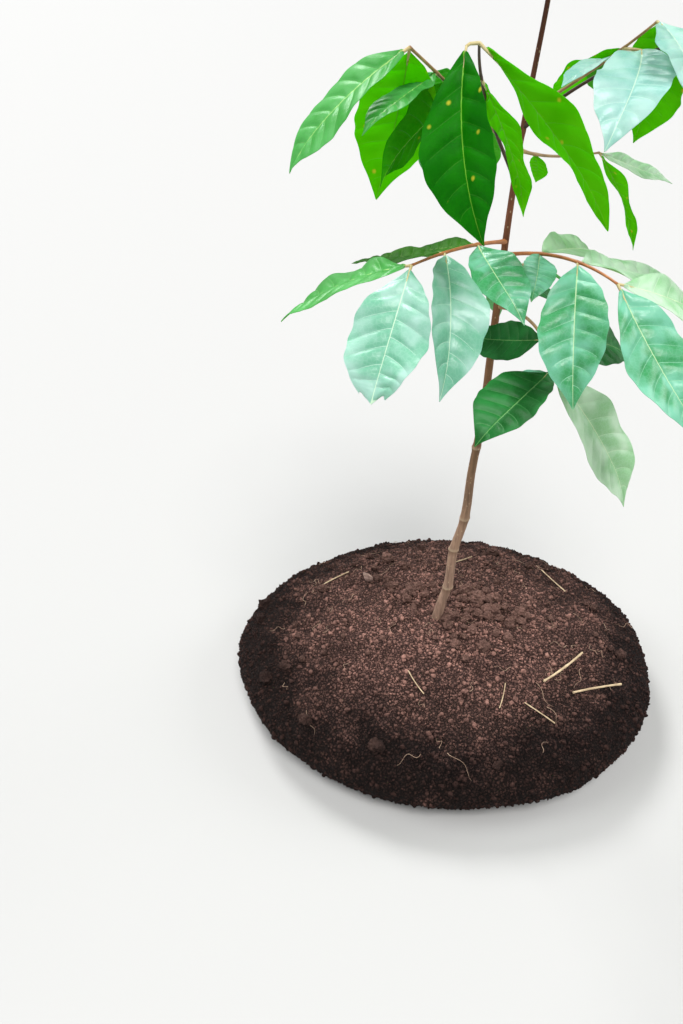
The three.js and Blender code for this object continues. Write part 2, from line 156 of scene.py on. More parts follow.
# Outline of a leaflet with a drip tip: share of the length, share of the half width
BLADE_OUTLINE = [
    (0.03, 0.02), (0.06, 0.12), (0.15, 0.45), (0.3, 0.82), (0.5, 1), (0.67, 0.93), (0.8, 0.67),
    (0.9, 0.32), (0.96, 0.12), (1, 0.015),
]
SIDE_VEINS = 7  # on each side of a leaflet
VEIN_SPAN = (0.09, 0.86)  # where the first and the last one leave the midrib
VEIN_SWEEP = 0.13  # how far a side vein runs forward to the margin, as a share of the length
VEIN_HALF = 0.36  # half its width beside the midrib
RIB_HALF = (0.66, 0.24)  # half width of the midrib at the base and at the tip
FULL_RIB_LENGTH = 110  # leaflets shorter than this have a narrower midrib
RIB_RIDGE = 0.55  # how far the midrib stands out below, as a share of its half width
RIB_GROOVE = 0.2  # depth of its edges above
VEIN_RIDGE = 0.35
VEIN_GROOVE = 0.25
BETWEEN_VEINS = 3  # rows of points between one vein and the next
TIP_ROWS = 6  # the same past the last vein
ACROSS = (0, 0.1, 0.26, 0.44, 0.62, 0.8, 0.93, 1)  # columns from the midrib to the margin
QUILT = 0.017  # rise of the blade between two side veins, as a share of the length
SCALLOP = 0.02  # how far the margin swings out and in, as a share of the half width
WAVE_SIZE = (0.014, 0.032)  # rise of the wavy margin, as a share of the length
WAVE_TURNS = (1.3, 2.6)
TIP_CURL = (0.01, 0.05)  # how far the tip curls down, as a share of the length
TWIST = (-13, 13)  # degrees by which a blade turns about its midrib from the base to the tip
VEIN_REACH = 2  # columns from the margin that a side vein's own finish leaves free
TORN_TIPS = {("leaf_mid_left", 5): 0.91}  # leaf and leaflet, share of the length where it is torn off
TORN_FROM = 0.74  # share of the length from which its rows are drawn in

# Each leaf: name, height on the stem, heading, reach, lift, arch and sideways bow of its stalk, finish
# of the stalk. Each leaflet: share of the stalk, length, width, heading, pitch, roll about its midrib,
# finish, and values of its own. Those are the arch, which is the rise of the midrib over its chord as a
# share of the length, the fold, which is the rise of the margins over the midrib as a share of the half
# width, the sideways bow of the midrib, and the length and heading of a longer stalklet.
LEAF_VALUES = ("name", "height", "heading", "reach", "lift", "arch", "bow", "stalk", "leaflets")
LEAFLET_VALUES = ("share", "length", "width", "heading", "pitch", "roll", "finish")
USUAL_LEAFLET = dict(arch=0.07, fold=0.14, bow=0, neck=0, neck_heading=0)
SEEN_LEAVES = [
    ("leaf_low_right", 487, -71, 127, -30, 12, 13, "tan", [
        (0.69, 101, 47, -159, 10, 99, "shaded", dict(arch=0.01, fold=0.1, bow=-2)),
        (0.69, 136, 66, 23, -17, -38, "shaded", dict(arch=0.05, fold=0.09, bow=-6)),
        (1, 126, 72, -139, -21, -2, "shaded", dict(arch=0.05, fold=0.38, bow=-5)),
        (1, 199, 76, -9, -55, -33, "whitish", dict(arch=0.02, fold=0.16, bow=-9)),
        (1, 117, 56, 114, -56, 70, "waxy"),
    ]),
    ("leaf_low_back", 472, 66, 155, 25, 12, 4, "tan", [
        (0.56, 119, 50, 10, -38, -15, "shaded"),
        (0.56, 110, 46, 130, -45, 15, "fresh"),
        (1, 130, 60, 34, -34, -15, "fresh"),
        (1, 136, 56, 100, -50, 15, "waxy"),
    ]),
    ("leaf_mid_right", 546, -66, 186, 21, 11, 5, "orange", [
        (0.31, 71, 36, -105, -26, 18, "waxy", dict(arch=0.08, fold=0.33)),
        (0.31, 141, 57, 48, -11, -15, "pale", dict(arch=0.05, fold=0.18, bow=4)),
        (0.65, 152, 65, -97, -47, -15, "waxy", dict(arch=0.1, fold=0.38)),
        (0.65, 167, 65, 30, -16, -13, "whitish", dict(arch=0, fold=0.12, bow=-4)),
        (1, 166, 74, -50, -44, -16, "waxy", dict(arch=0.02, fold=0.18, bow=7)),
        (1, 147, 61, 14, -24, -25, "whitish", dict(arch=0.06, fold=0.05)),
    ]),
    ("leaf_mid_left", 561, -125, 209, 24, 5, 0, "orange", [
        (0.35, 113, 55, -67, -26, -10, "waxy", dict(arch=0.09, fold=0.22, bow=7)),
        (0.35, 121, 51, 133, -17, 11, "olive", dict(arch=0.01, fold=0.02)),
        (0.7, 157, 65, -93, -40, 29, "frosted", dict(arch=0.13, fold=0.44, bow=6)),
        (0.7, 125, 50, 138, -14, 5, "olive", dict(arch=0, fold=0, bow=-1)),
        (1, 159, 72, 156, -27, 9, "fresh", dict(arch=0.04, fold=0.04, bow=9)),
        (1, 146, 78, -115, -48, -4, "frosted", dict(arch=0.05, fold=0.13, bow=-3)),
    ]),
    ("leaf_front", 628, -116, 167, 133, 11, -13, "dark", [
        (0.7, 152, 39, 36, -56, -5, "bright", dict(arch=0.06, fold=0.08, bow=-7)),
        (0.7, 142, 58, -142, -31, -66, "clear", dict(arch=0.05, fold=0.19, bow=-2)),
        (1, 189, 69, -19, -46, 33, "bright", dict(arch=0.03, fold=0.16, bow=1)),
        (1, 158, 65, -75, -65, -53, "clear",
         dict(arch=0.09, fold=0.36, bow=3, neck=17, neck_heading=-135)),
    ]),
    ("leaf_upper_left", 650, -128, 216, 109, 8, -10, "tan", [
        (0.74, 104, 38, -134, -20, -1, "fresh", dict(arch=0.04, fold=0.11, bow=-5)),
        (0.74, 105, 50, 95, -22, 5, "fresh"),
        (1, 138, 57, -180, -42, 25, "fresh", dict(arch=0.06, fold=0.08, bow=1)),
        (1, 160, 73, 103, -56, -17, "bright", dict(arch=0.07, fold=0.21, bow=3)),
    ]),
    ("leaf_back_right", 656, 41, 153, -19, -6, 8, "tan", [
        (0.25, 33, 26, 56, -67, -20, "bright"),
        (0.66, 52, 28, 73, 10, 55, "bright"),
        (1, 105, 37, 5, -19, -24, "whitish", dict(arch=0, fold=0.07, bow=1)),
        (1, 120, 39, -44, -56, 47, "bright", dict(arch=0.05, fold=0.15, bow=2)),
    ]),
    ("leaf_back", 666, 105, 166, 36, 9, 3, "tan", [
        (0.63, 84, 40, 20, -45, -15, "fresh"),
        (0.63, 88, 44, 180, -60, 15, "bright"),
        (1, 133, 60, 120, -60, 10, "waxy"),
        (1, 140, 60, 50, -60, -10, "fresh"),
    ]),
    ("leaf_right_front", 677, -43, 200, 88, 21, 0, "dark", [
        (0.76, 112, 54, 30, -20, 12, "fresh"),
        (0.84, 110, 56, -72, -3, -12, "waxy"),
        (1, 135, 64, -60, -38, -10, "waxy"),
        (1, 130, 62, -5, -30, 10, "fresh"),
    ]),
    ("leaf_right", 692, -46, 125, 82, 0, 12, "tan", [
        (0.6, 94, 32, -128, -8, -10, "silvery", dict(arch=0.05, fold=0.17, bow=-7)),
        (0.6, 85, 50, 60, -30, 10, "fresh"),
        (0.73, 125, 64, -116, -31, -1, "silvery",
         dict(arch=0.1, fold=0.3, bow=-8, neck=23, neck_heading=-62)),
        (0.73, 106, 42, 117, -30, -5, "bright", dict(arch=0.07, fold=0.13, bow=6)),
        (1, 108, 54, -80, -30, 10, "silvery"),
        (1, 122, 66, 70, -59, -30, "bright"),
    ]),
]

# The crown above them, which spirals up the stem and grows smaller towards the bud
CROWN_SEED = 41
CROWN_LEAVES = 7
CROWN_FIRST = 800  # height of the lowest leaf
CROWN_SPACING = 34
CROWN_HEADING = -22
CROWN_TURN = -137.5
CROWN_REACH = (172, 66)  # stalk of the lowest and of the highest leaf
CROWN_LIFT = (0.72, 1.3)  # rise of the stalk as a share of its reach
CROWN_ARCH = 0.06  # its arch, as a share of the same
CROWN_LENGTH = (158, 60)  # longest leaflet of the lowest and of the highest leaf
CROWN_PAIRS = (0.42, 0.72, 1)  # where the pairs of leaflets stand on the stalk
CROWN_PAIR_LENGTH = (0.7, 0.88, 1)  # their length as a share of the longest
CROWN_SPREAD = (62, 50, 30)  # how far each pair turns away from the stalk
CROWN_PITCH = -30
CROWN_JITTER = 9
CROWN_ROLL = (4, 18)
CROWN_UNEVEN = (0.92, 1.08)
CROWN_WIDTH_SHARE = 0.47
# Finish of each crown leaf, from the lowest to the highest
CROWN_FINISH = ("yellowing", "fresh", "bright", "fresh", "bright", "young", "young")

# Litter on the soil: right, back, heading, length, width
STRAWS = [
    (159, -114, 40, 92, 3.6), (205, -140, 22, 88, 3.4), (-180, 90, 30, 60, 2.2), (36, 120, 35, 55, 2),
    (190, 90, 110, 70, 1.8), (-60, -150, -60, 40, 1.6), (110, -190, 150, 46, 1.8),
    (60, -170, 70, 38, 1.5),
]
LITTER_SEED = 53
STRAW_RINGS = 12
STRAW_SIDES = 7
STRAW_LIFT = 2.4
STRAW_BEND = 2
STRAW_THINNEST = 0.8  # least thickness as a share of the width
STRAW_UNEVEN = 0.3  # how much thicker it may be
ROOTLETS = 60
ROOTLET_RINGS = 12
ROOTLET_SIDES = 5
ROOTLET_BAND = (0.12, 0.92)  # shares of the ball's half width
ROOTLET_LENGTH = (12, 46)
ROOTLET_WIDTH = 0.7
ROOTLET_TAPER = 0.7
ROOTLET_LIFT = 2.2
ROOTLET_BEND = 3.2
# Dry flakes that stick up out of the soil: right, back, heading, pitch, length, width
FLAKES = [(-117, 68, 150, 48, 23, 14)]
FLAKE_RINGS = 9
FLAKE_SIDES = 7
FLAKE_FLATNESS = 0.35  # depth from front to back as a share of the width

# Studio, with light like a bright, cloudy sky
FLOOR_HALF = 90  # metres from the middle to each side
FLOOR_TONE = (0.4, 0.395, 0.385, 1)
WORLD_LIGHT = 0.42
WORLD_TINT = (0.95, 0.98, 1, 1)
# Name, heading, height over the horizon, width in degrees, strength, tint
SKY_LIGHTS = [
    ("front_sky", -82, 60, 26, 3.2, (1, 1, 1)),
    ("back_sky", 118, 46, 20, 2.5, (0.98, 0.99, 1)),
    ("right_sky", 15, 30, 31, 1.1, (0.96, 0.98, 1)),
    ("left_sky", -176, 44, 31, 1.2, (0.96, 0.98, 1)),
]

# Camera at the photograph's place
PHOTO_SIZE = (683, 1024)
FOCAL_PIXELS = 780
CAMERA_FROM_FOOT = (-146, -899, 800)
CAMERA_DOWN = 34  # degrees under the horizon


def seeded_random(seed):
    """A run of repeatable random numbers from 0 to 1."""
    state = seed

    def draw():
        nonlocal state
        state = (state * 16807) % 2147483647
        return state / 2147483647

    return draw


def mix(pair, share):
    return pair[0] + (pair[1] - pair[0]) * share


def direction(heading, pitch):
    h = math.radians(heading)
    p = math.radians(pitch)
    return np.array([math.cos(p) * math.cos(h), math.cos(p) * math.sin(h), math.sin(p)])


def smooth(rows, at, column=1):
    """Smooth value of one column of rows that are sorted by their first column."""
    values = np.array(rows, float)
    x = values[:, 0]
    y = values[:, column]
    slope = np.empty_like(y)
    slope[1:-1] = (y[2:] - y[:-2]) / (x[2:] - x[:-2])
    slope[0] = (y[1] - y[0]) / (x[1] - x[0])
    slope[-1] = (y[-1] - y[-2]) / (x[-1] - x[-2])
    i = np.clip(np.searchsorted(x, at) - 1, 0, len(x) - 2)
    span = x[i + 1] - x[i]
    t = (at - x[i]) / span
    rise = y[i + 1] - y[i]
    start = slope[i] * span
    end = slope[i + 1] * span
    return y[i] + t * (start + t * (3 * rise - 2 * start - end + t * (start + end - 2 * rise)))


def colour(red, green, blue):
    """A shader colour from the 0 to 255 values that a screen shows."""
    def linear(value):
        v = value / 255
        return v / 12.92 if v <= 0.04045 else ((v + 0.055) / 1.055) ** 2.4

    return (linear(red), linear(green), linear(blue), 1)


def grey(level):
    """A shader colour that only darkens or lightens."""
    return (level, level, level, 1)


# Nodes


class Nodes:
    """The few calls that the nodes of one tree are made and joined with."""

    def __init__(self, tree):
        self.tree = tree

    def feed(self, node, feeds):
        """Gives inputs, by name or by number, a value or the output of another node."""
        for socket, value in feeds.items():
            if isinstance(value, bpy.types.NodeSocket):
                self.tree.links.new(value, node.inputs[socket])
            else:
                node.inputs[socket].default_value = value

    def node(self, kind, feeds=None, **settings):
        made = self.tree.nodes.new(kind)
        for key, value in settings.items():
            setattr(made, key, value)
        self.feed(made, feeds or {})
        return made

    def number(self, operation, first, second):
        """The result of an operation on two numbers."""
        return self.node("ShaderNodeMath", {0: first, 1: second}, operation=operation).outputs[0]

    def vector(self, operation, first, second):
        """The result of an operation on two vectors, or of scaling one by a number."""
        feeds = {0: first, "Scale" if operation == "SCALE" else 1: second}
        return self.node("ShaderNodeVectorMath", feeds, operation=operation).outputs[0]

    def upward(self, vector):
        """How high a vector reaches."""
        return self.node("ShaderNodeSeparateXYZ", {0: vector}).outputs["Z"]

    def range(self, value, low, high, to_low=0.0, to_high=1.0):
        """A value from low to high, turned into one from to_low to to_high."""
        feeds = {"Value": value, "From Min": low, "From Max": high, "To Min": to_low, "To Max": to_high}
        return self.node("ShaderNodeMapRange", feeds).outputs[0]


# Materials


class Finish(Nodes):
    """A new material, and the patterns that it is painted with. Their sizes are in metres."""

    def __init__(self, name):
        self.material = bpy.data.materials.new(name)
        self.material.use_nodes = True
        super().__init__(self.material.node_tree)
        self.shader = self.tree.nodes["Principled BSDF"]
        self.place = self.node("ShaderNodeTexCoord").outputs["Object"]

    def stretched(self, *scale):
        """The place on the piece, with each axis scaled, for streaks."""
        return self.node("ShaderNodeMapping", {"Vector": self.place, "Scale": scale}).outputs["Vector"]

    def warped(self, size, reach):
        """The place on the piece, pushed about by noise."""
        cloud = self.node("ShaderNodeTexNoise", {"Vector": self.place, "Scale": 1 / size})
        centred = self.vector("SUBTRACT", cloud.outputs["Color"], MIDDLE_OF_NOISE)
        return self.vector("ADD", self.place, self.vector("SCALE", centred, reach))

    def noise(self, size, detail=3.0, roughness=0.55, place=None):
        """Cloudy values with patches of about that size."""
        made = self.node("ShaderNodeTexNoise", {"Vector": place or self.place, "Scale": 1 / size})
        self.feed(made, {"Detail": detail, "Roughness": roughness})
        return made.outputs["Fac"]

    def cells(self, size, feature="F1", result="Distance", place=None):
        """Values that split the surface into cells of about that size."""
        feeds = {"Vector": place or self.place, "Scale": 1 / size}
        return self.node("ShaderNodeTexVoronoi", feeds, feature=feature).outputs[result]

    def band(self, value, start, peak, end, strength):
        """A strength that grows from the start to the peak and is gone again at the end."""
        growing = self.range(value, start, peak, 0.0, strength)
        fading = self.range(value, peak, end, 1.0, 0.0)
        return self.number("MULTIPLY", growing, fading)

    def ramp(self, value, *stops):
        """Colours by value, from pairs of place and colour."""
        made = self.node("ShaderNodeValToRGB", {"Fac": value})
        steps = made.color_ramp.elements
        while len(steps) < len(stops):
            steps.new(0.5)
        for step, (at, tone) in zip(steps, stops):
            step.position = at
            step.color = tone
        return made.outputs["Color"]

    def patches(self, size, detail, low, high):
        """Two tones that run into each other in patches of about that size."""
        return self.ramp(self.noise(size, detail), (0.35, colour(*low)), (0.65, colour(*high)))

    def blend(self, share, first, second, way="MIX"):
        feeds = {0: share, 6: first, 7: second}
        return self.node("ShaderNodeMix", feeds, data_type="RGBA", blend_type=way).outputs[2]

    def shaded(self, tone, value, *stops):
        """A tone that is darker or lighter by value, from pairs of place and colour."""
        return self.blend(1.0, tone, self.ramp(value, *stops), "MULTIPLY")

    def bump(self, value, depth, strength=1.0, under=None):
        """Relief of that depth, on top of the relief that lies under it."""
        feeds = {"Height": value, "Distance": depth, "Strength": strength}
        if under is not None:
            feeds["Normal"] = under
        return self.node("ShaderNodeBump", feeds).outputs["Normal"]

    def painted(self, tone, roughness, relief=None):
        """The material, once its shader has its tone, its roughness and its relief."""
        self.feed(self.shader, {"Base Color": tone, "Roughness": roughness})
        if relief is not None:
            self.feed(self.shader, {"Normal": relief})
        return self.material


# Skin of a blade: sizes in metres of its patches, which on the finishes with painted sheen are
# patches of painted reflection, its net of veins and its ripples
LEAF_PATCH = 0.035
LEAF_NET = 0.0042
LEAF_NET_SHOWS = 0.22
LEAF_RIPPLE = 0.012
SPOT_TONE = (222, 212, 60)
SPOT_SPACING = 0.019
SPOT_EDGE = (0.06, 0.14)  # where a spot fades out, as shares of the spacing


def leaf_tissue(name, tones, light_through, share, gloss, shine, spots=None):
    """Living blade: two greens in patches, the paler one painted reflection where a finish paints
    sheen, a fine net of veins and light that shines through.
    """
    finish = Finish(name)
    low, high, net_tone = tones
    # Patches of the low and the high tone; on the finishes with painted sheen the high tone is painted
    # reflection of the sky
    base = finish.ramp(finish.noise(LEAF_PATCH, 2.0), (0.4, low), (0.6, high))
    net = finish.range(finish.cells(LEAF_NET, "DISTANCE_TO_EDGE"), 0.0, 0.12, 1.0, 0.0)
    base = finish.blend(finish.range(net, 0, 1, 0, LEAF_NET_SHOWS), base, net_tone)
    through = light_through
    if spots is not None:
        near = finish.range(finish.cells(SPOT_SPACING), *SPOT_EDGE, 0.85, 0.0)
        base = finish.blend(near, base, spots)
        through = finish.blend(near, light_through, spots)
    fine = finish.bump(net, 0.00012, 0.5)
    finish.painted(base, gloss, finish.bump(finish.noise(LEAF_RIPPLE, 1.0), 0.0005, 0.6, fine))
    finish.feed(finish.shader, {"Specular IOR Level": shine})
    lit = finish.node("ShaderNodeBsdfTranslucent", {"Color": through}).outputs[0]
    both = finish.node("ShaderNodeMixShader", {"Fac": share, 1: finish.shader.outputs[0], 2: lit})
    finish.feed(finish.tree.nodes["Material Output"], {"Surface": both.outputs[0]})
    return finish.material


# Finish of a leaflet: two tones and the net of the upper side, the underside, the veins, the light that
# shines through, its share, then roughness and shine of the upper side and of the underside
GREENS = {
    # Painted sheen: the high tone and its patches stand for the sky mirrored in a green blade
    "waxy": ((66, 158, 100), (130, 206, 176), (146, 214, 184), (110, 186, 120), (200, 230, 180),
             (110, 200, 90), 0.3, (0.34, 0.6), (0.6, 0.4)),
    # Painted sheen: pale bluish tones, above and below, that stand for the sky mirrored in the blade
    "frosted": ((116, 184, 156), (170, 212, 200), (178, 218, 204), (150, 206, 180), (210, 236, 208),
                (140, 205, 140), 0.3, (0.36, 0.6), (0.5, 0.5)),
    # Painted sheen: near-white bluish tones that stand for the sky mirrored in the blade
    "silvery": ((152, 206, 202), (192, 228, 226), (200, 234, 230), (156, 206, 198), (222, 242, 226),
                (150, 215, 165), 0.3, (0.36, 0.6), (0.5, 0.5)),
    # Painted sheen: pale tones that stand for the sky mirrored at a grazing angle, over the blade's
    # green
    "pale": ((160, 212, 156), (196, 230, 192), (208, 232, 202), (150, 200, 130), (226, 236, 196),
             (150, 205, 90), 0.35, (0.4, 0.5), (0.6, 0.4)),
    # Painted sheen: whitish tones that stand for the sky mirrored in the blade, over its green
    "whitish": ((158, 208, 160), (212, 238, 212), (220, 238, 216), (170, 210, 150), (228, 238, 206),
                (170, 215, 120), 0.3, (0.4, 0.5), (0.6, 0.4)),
    "fresh": ((72, 164, 70), (98, 188, 100), (112, 194, 110), (76, 168, 30), (170, 214, 120),
              (90, 205, 20), 0.45, (0.38, 0.4), (0.8, 0.2)),
    "olive": ((42, 100, 14), (60, 120, 22), (78, 136, 40), (64, 124, 16), (140, 172, 80),
              (80, 150, 8), 0.4, (0.55, 0.12), (0.8, 0.2)),
    "clear": ((14, 106, 1), (26, 128, 2), (40, 140, 6), (46, 148, 1), (110, 180, 30),
              (60, 190, 1), 0.5, (0.5, 0.12), (0.9, 0.06)),
    "shaded": ((20, 98, 34), (44, 134, 62), (56, 142, 72), (60, 130, 46), (120, 180, 100),
               (34, 130, 20), 0.3, (0.46, 0.26), (0.7, 0.3)),
    "bright": ((76, 172, 2), (98, 190, 3), (112, 198, 12), (96, 186, 1), (116, 176, 12),
               (140, 240, 1), 0.5, (0.55, 0.15), (0.9, 0.06)),
    "yellowing": ((112, 176, 20), (164, 196, 30), (190, 208, 50), (160, 190, 30), (214, 210, 60),
                  (190, 225, 20), 0.5, (0.45, 0.4), (0.7, 0.2)),
    "young": ((120, 140, 42), (148, 120, 46), (150, 150, 60), (150, 140, 60), (170, 96, 50),
              (200, 190, 30), 0.5, (0.4, 0.4), (0.7, 0.2)),
}
SPOTTED = ("bright", "clear")
RIB_SHEEN = (0.3, 0.5, 0.4)  # share of light through, roughness and shine of a midrib
VEIN_SHEEN = (0.45, 0.4)  # roughness and shine of a side vein


def lighter(tone, step):
    return tuple(min(255, value + step) for value in tone)


def leaf_materials():
    """The blade, underside, midrib and vein of every finish, by name."""
    made = {}
    for name, (low, high, net, under, vein, through, share, upper, lower) in GREENS.items():
        spots = colour(*SPOT_TONE) if name in SPOTTED else None
        faint = tuple((3 * a + b) // 4 for a, b in zip(high, vein))
        parts = {
            name: ((low, high, net), share, *upper, spots),
            f"{name}_under": ((under, lighter(under, 14), vein), share, *lower, spots),
            f"{name}_rib": ((vein, lighter(vein, 10), vein), *RIB_SHEEN),
            f"{name}_vein": ((faint, faint, vein), share, *VEIN_SHEEN),
        }
        for part, (tones, *sheen) in parts.items():
            shades = [colour(*tone) for tone in tones]
            made[part] = leaf_tissue(f"leaf_{part}", shades, colour(*through), *sheen)
    return made


STALKS = {
    "tan": ((150, 112, 72), (182, 142, 96)),
    "orange": ((156, 88, 38), (184, 112, 54)),
    "dark": ((50, 30, 22), (82, 48, 34)),
    "joint": ((178, 158, 104), (210, 194, 144)),
}


def stalk_material(name, low, high):
    """Smooth skin of a leaf stalk: two close browns in streaks, with a faint grain."""
    finish = Finish(name)
    grain = finish.bump(finish.noise(0.002, 3.0), 0.0004, 0.6)
    return finish.painted(finish.patches(0.012, 4.0, low, high), 0.5, grain)


# Tones of the bark: share of the way up, tone
BARK_TONES = [
    (0.0, (146, 116, 98)), (0.1, (166, 134, 112)), (0.16, (166, 132, 106)), (0.26, (138, 104, 74)),
    (0.42, (130, 84, 46)), (0.6, (120, 64, 36)), (0.78, (94, 42, 28)), (1.0, (112, 62, 38)),
]
BARK_SPAN = (0.16, 1.2)  # heights in metres of the first and the last tone
BARK_STREAK = (70, 50, 38)
BARK_PORE = (196, 170, 138)
BARK_PORE_SPACING = 0.0045
SCAR_EDGE = (206, 184, 152)
SCAR_SHADE = (96, 66, 44)
SCAR_SHOWS = 0.4


def bark_material():
    """Bark that turns from tan at the foot to dark red near the bud, with streaks and pale pores."""
    finish = Finish("bark")
    height = finish.upward(finish.place)
    stops = [(at, colour(*tone)) for at, tone in BARK_TONES]
    ground = finish.ramp(finish.range(height, *BARK_SPAN), *stops)
    streaks = finish.noise(0.004, 4.0, 0.6, finish.stretched(1, 1, 0.12))
    streaked = finish.blend(finish.range(streaks, 0.35, 0.7), ground, colour(*BARK_STREAK), "MULTIPLY")
    tone = finish.blend(0.55, ground, streaked)
    pores = finish.cells(BARK_PORE_SPACING, place=finish.stretched(1, 1, 0.6))
    tone = finish.blend(finish.range(pores, 0.14, 0.2, 0.5, 0.0), tone, colour(*BARK_PORE))
    for at, _ in SCARS:
        middle = (FOOT[2] + at) * MM
        pale = finish.band(height, middle - SCAR_PALE, middle, middle + 2 * SCAR_PALE, SCAR_SHOWS)
        tone = finish.blend(pale, tone, colour(*SCAR_EDGE))
        # Painted shade in a band under the lip that each scar stands out with
        dark = finish.band(height, middle - 5 * SCAR_PALE, middle - SCAR_PALE, middle, SCAR_SHOWS)
        tone = finish.blend(dark, tone, colour(*SCAR_SHADE))
    ridges = finish.bump(streaks, 0.0008, 0.8)
    return finish.painted(tone, 0.72, finish.bump(finish.noise(0.0015, 3.0), 0.0003, 0.6, ridges))


# Soil finishes: name, dark tone low on the flanks, which is painted shade, tone on top, how far the
# tones of its crumbs spread, how dark the painted shade between them is, depth of its grain, and
# whether its pieces carry CRUMB_RISE, which paints shade at their feet and light on their tops
SOILS = {
    "soil": ("soil", (40, 28, 25), (128, 95, 87), 0.35, 0.88, 0.0036, False),
    "crumb": ("soil_crumbs", (44, 30, 27), (150, 114, 105), 0.45, 0, 0.0022, True),
    "clod": ("soil_clods", (46, 33, 30), (124, 95, 87), 0.25, 0.3, 0.0032, True),
}
CRUMB_RISE = "rise"  # attribute: how high a point lies in its crumb or clod, from 0 to 1, which sets its painted shade and light
FLANK_SHADE_SPAN = (0.09, 0.163)  # heights in metres over which the painted shade of the flanks gives way to the tone on top
CRUMB_CELL = 0.0045  # size of the crumbs that are only painted
CRUMB_WARP = 0.006  # how far their outlines are bent
# Shades that tones are multiplied by: painted shade at a crumb's foot, painted light on its top, and
# the fine grain
CRUMB_FOOT_SHADE = (0.34, 0.32, 0.31, 1)
CRUMB_TOP_LIGHT = (1.1, 1.08, 1.06, 1)
GRAIN_DARK = (0.62, 0.6, 0.58, 1)
GRAIN_LIGHT = (1.22, 1.2, 1.18, 1)


def soil_material(name, shaded_flank_tone, dry, spread, gap_shade_and_depth, depth, loose):
    """Crumbly earth: redder on top and darker down the flanks, which is painted shade, with painted
    shade between its crumbs and at the feet of loose ones.
    """
    finish = Finish(name)
    level = finish.range(finish.upward(finish.place), *FLANK_SHADE_SPAN, -0.3, 0.7)
    drift = finish.range(finish.noise(0.07, 4.0, 0.6), 0.3, 0.7, 0.0, 0.5)
    # Painted shade: the tone darkens from the top down the flanks, with a little random drift
    tone = finish.ramp(finish.number("ADD", level, drift), (0.0, colour(*shaded_flank_tone)), (1.0, colour(*dry)))
    bent = finish.warped(CRUMB_WARP, CRUMB_WARP)
    crumbs = finish.cells(CRUMB_CELL, result="Color", place=bent)
    chance = finish.node("ShaderNodeSeparateColor", {0: crumbs}).outputs[0]
    light = (1 + 0.75 * spread, 1 + 0.7 * spread, 1 + 0.66 * spread, 1)
    tone = finish.shaded(tone, chance, (0.1, grey(1 - 0.62 * spread)), (0.95, light))
    edge = finish.range(finish.cells(CRUMB_CELL, "DISTANCE_TO_EDGE", place=bent), 0.0, 0.3)
    # Painted shade in the outlines between the painted crumbs
    tone = finish.shaded(tone, edge, (0.0, grey(1 - gap_shade_and_depth)), (1.0, grey(1)))
    # Painted shade at the foot of each crumb or clod and painted light on its top
    if loose:
        rise = finish.node("ShaderNodeAttribute", attribute_name=CRUMB_RISE).outputs["Fac"]
        tone = finish.shaded(tone, rise, (0.0, CRUMB_FOOT_SHADE), (0.6, CRUMB_TOP_LIGHT))
    grains = finish.noise(0.0035, 3.0, 0.7)
    tone = finish.shaded(tone, grains, (0.32, GRAIN_DARK), (0.68, GRAIN_LIGHT))
    finish.feed(finish.shader, {"Specular IOR Level": 0.15})
    rounded = finish.bump(edge, 0.002 * gap_shade_and_depth)
    coarse = finish.bump(finish.noise(0.005, 4.0, 0.7), depth, 1.0, rounded)
    fine = finish.bump(finish.noise(0.0014, 3.0, 0.7), depth * 0.4, 0.8, coarse)
    return finish.painted(tone, 0.97, fine)


# Dry finishes: two tones, roughness, size of their patches
DRY = {
    "straw": ((156, 134, 104), (194, 172, 138), 0.7, 0.01),
    "rootlet": ((140, 112, 92), (180, 152, 128), 0.8, 0.01),
    "flake": ((132, 106, 96), (182, 152, 140), 0.85, 0.004),
}


def dry_material(name, low, high, roughness, size):
    """A matt finish of two close tones in patches of that size."""
    finish = Finish(name)
    return finish.painted(finish.patches(size, 3.0, low, high), roughness)


# Meshes


def make_piece(name, shells, materials):
    """One object from shells of points in millimetres, faces, and the name of each face's material."""
    points = []
    faces = []
    kinds = []
    count = 0
    for shell_points, shell_faces, shell_kinds in shells:
        points.append(np.asarray(shell_points) * MM)
        faces += [tuple(i + count for i in face) for face in shell_faces]
        kinds += shell_kinds
        count += len(shell_points)
    mesh = bpy.data.meshes.new(name)
    mesh.from_pydata(np.concatenate(points).tolist(), [], faces)
    order = sorted(set(kinds))
    for kind in order:
        mesh.materials.append(materials[kind])
    number = {kind: i for i, kind in enumerate(order)}
    mesh.polygons.foreach_set("material_index", [number[kind] for kind in kinds])
    mesh.update()
    return add_piece(name, mesh)


def add_piece(name, mesh, crease=CREASE):
    mesh.shade_smooth()
    mesh.set_sharp_from_angle(angle=math.radians(crease))
    piece = bpy.data.objects.new(name, mesh)
    bpy.context.scene.collection.objects.link(piece)
    return piece


def settle(piece, slot, *nodes):
    """The piece rides on the plant's one body, in the place of CAD nodes, which it hides. Its slot is
    not used.
    """
    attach(piece, "root")
    if nodes:
        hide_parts(*nodes)


def ring_skin(rings):
    """Faces of a closed skin over rings of equal counts, counter-clockwise about their travel."""
    count = len(rings)
    sides = len(rings[0])
    faces = []
    for r in range(count - 1):
        for i in range(sides):
            j = (i + 1) % sides
            a = r * sides
            b = a + sides
            faces.append((a + i, a + j, b + j, b + i))
    faces.append(tuple(reversed(range(sides))))
    faces.append(tuple(range((count - 1) * sides, count * sides)))
    return faces


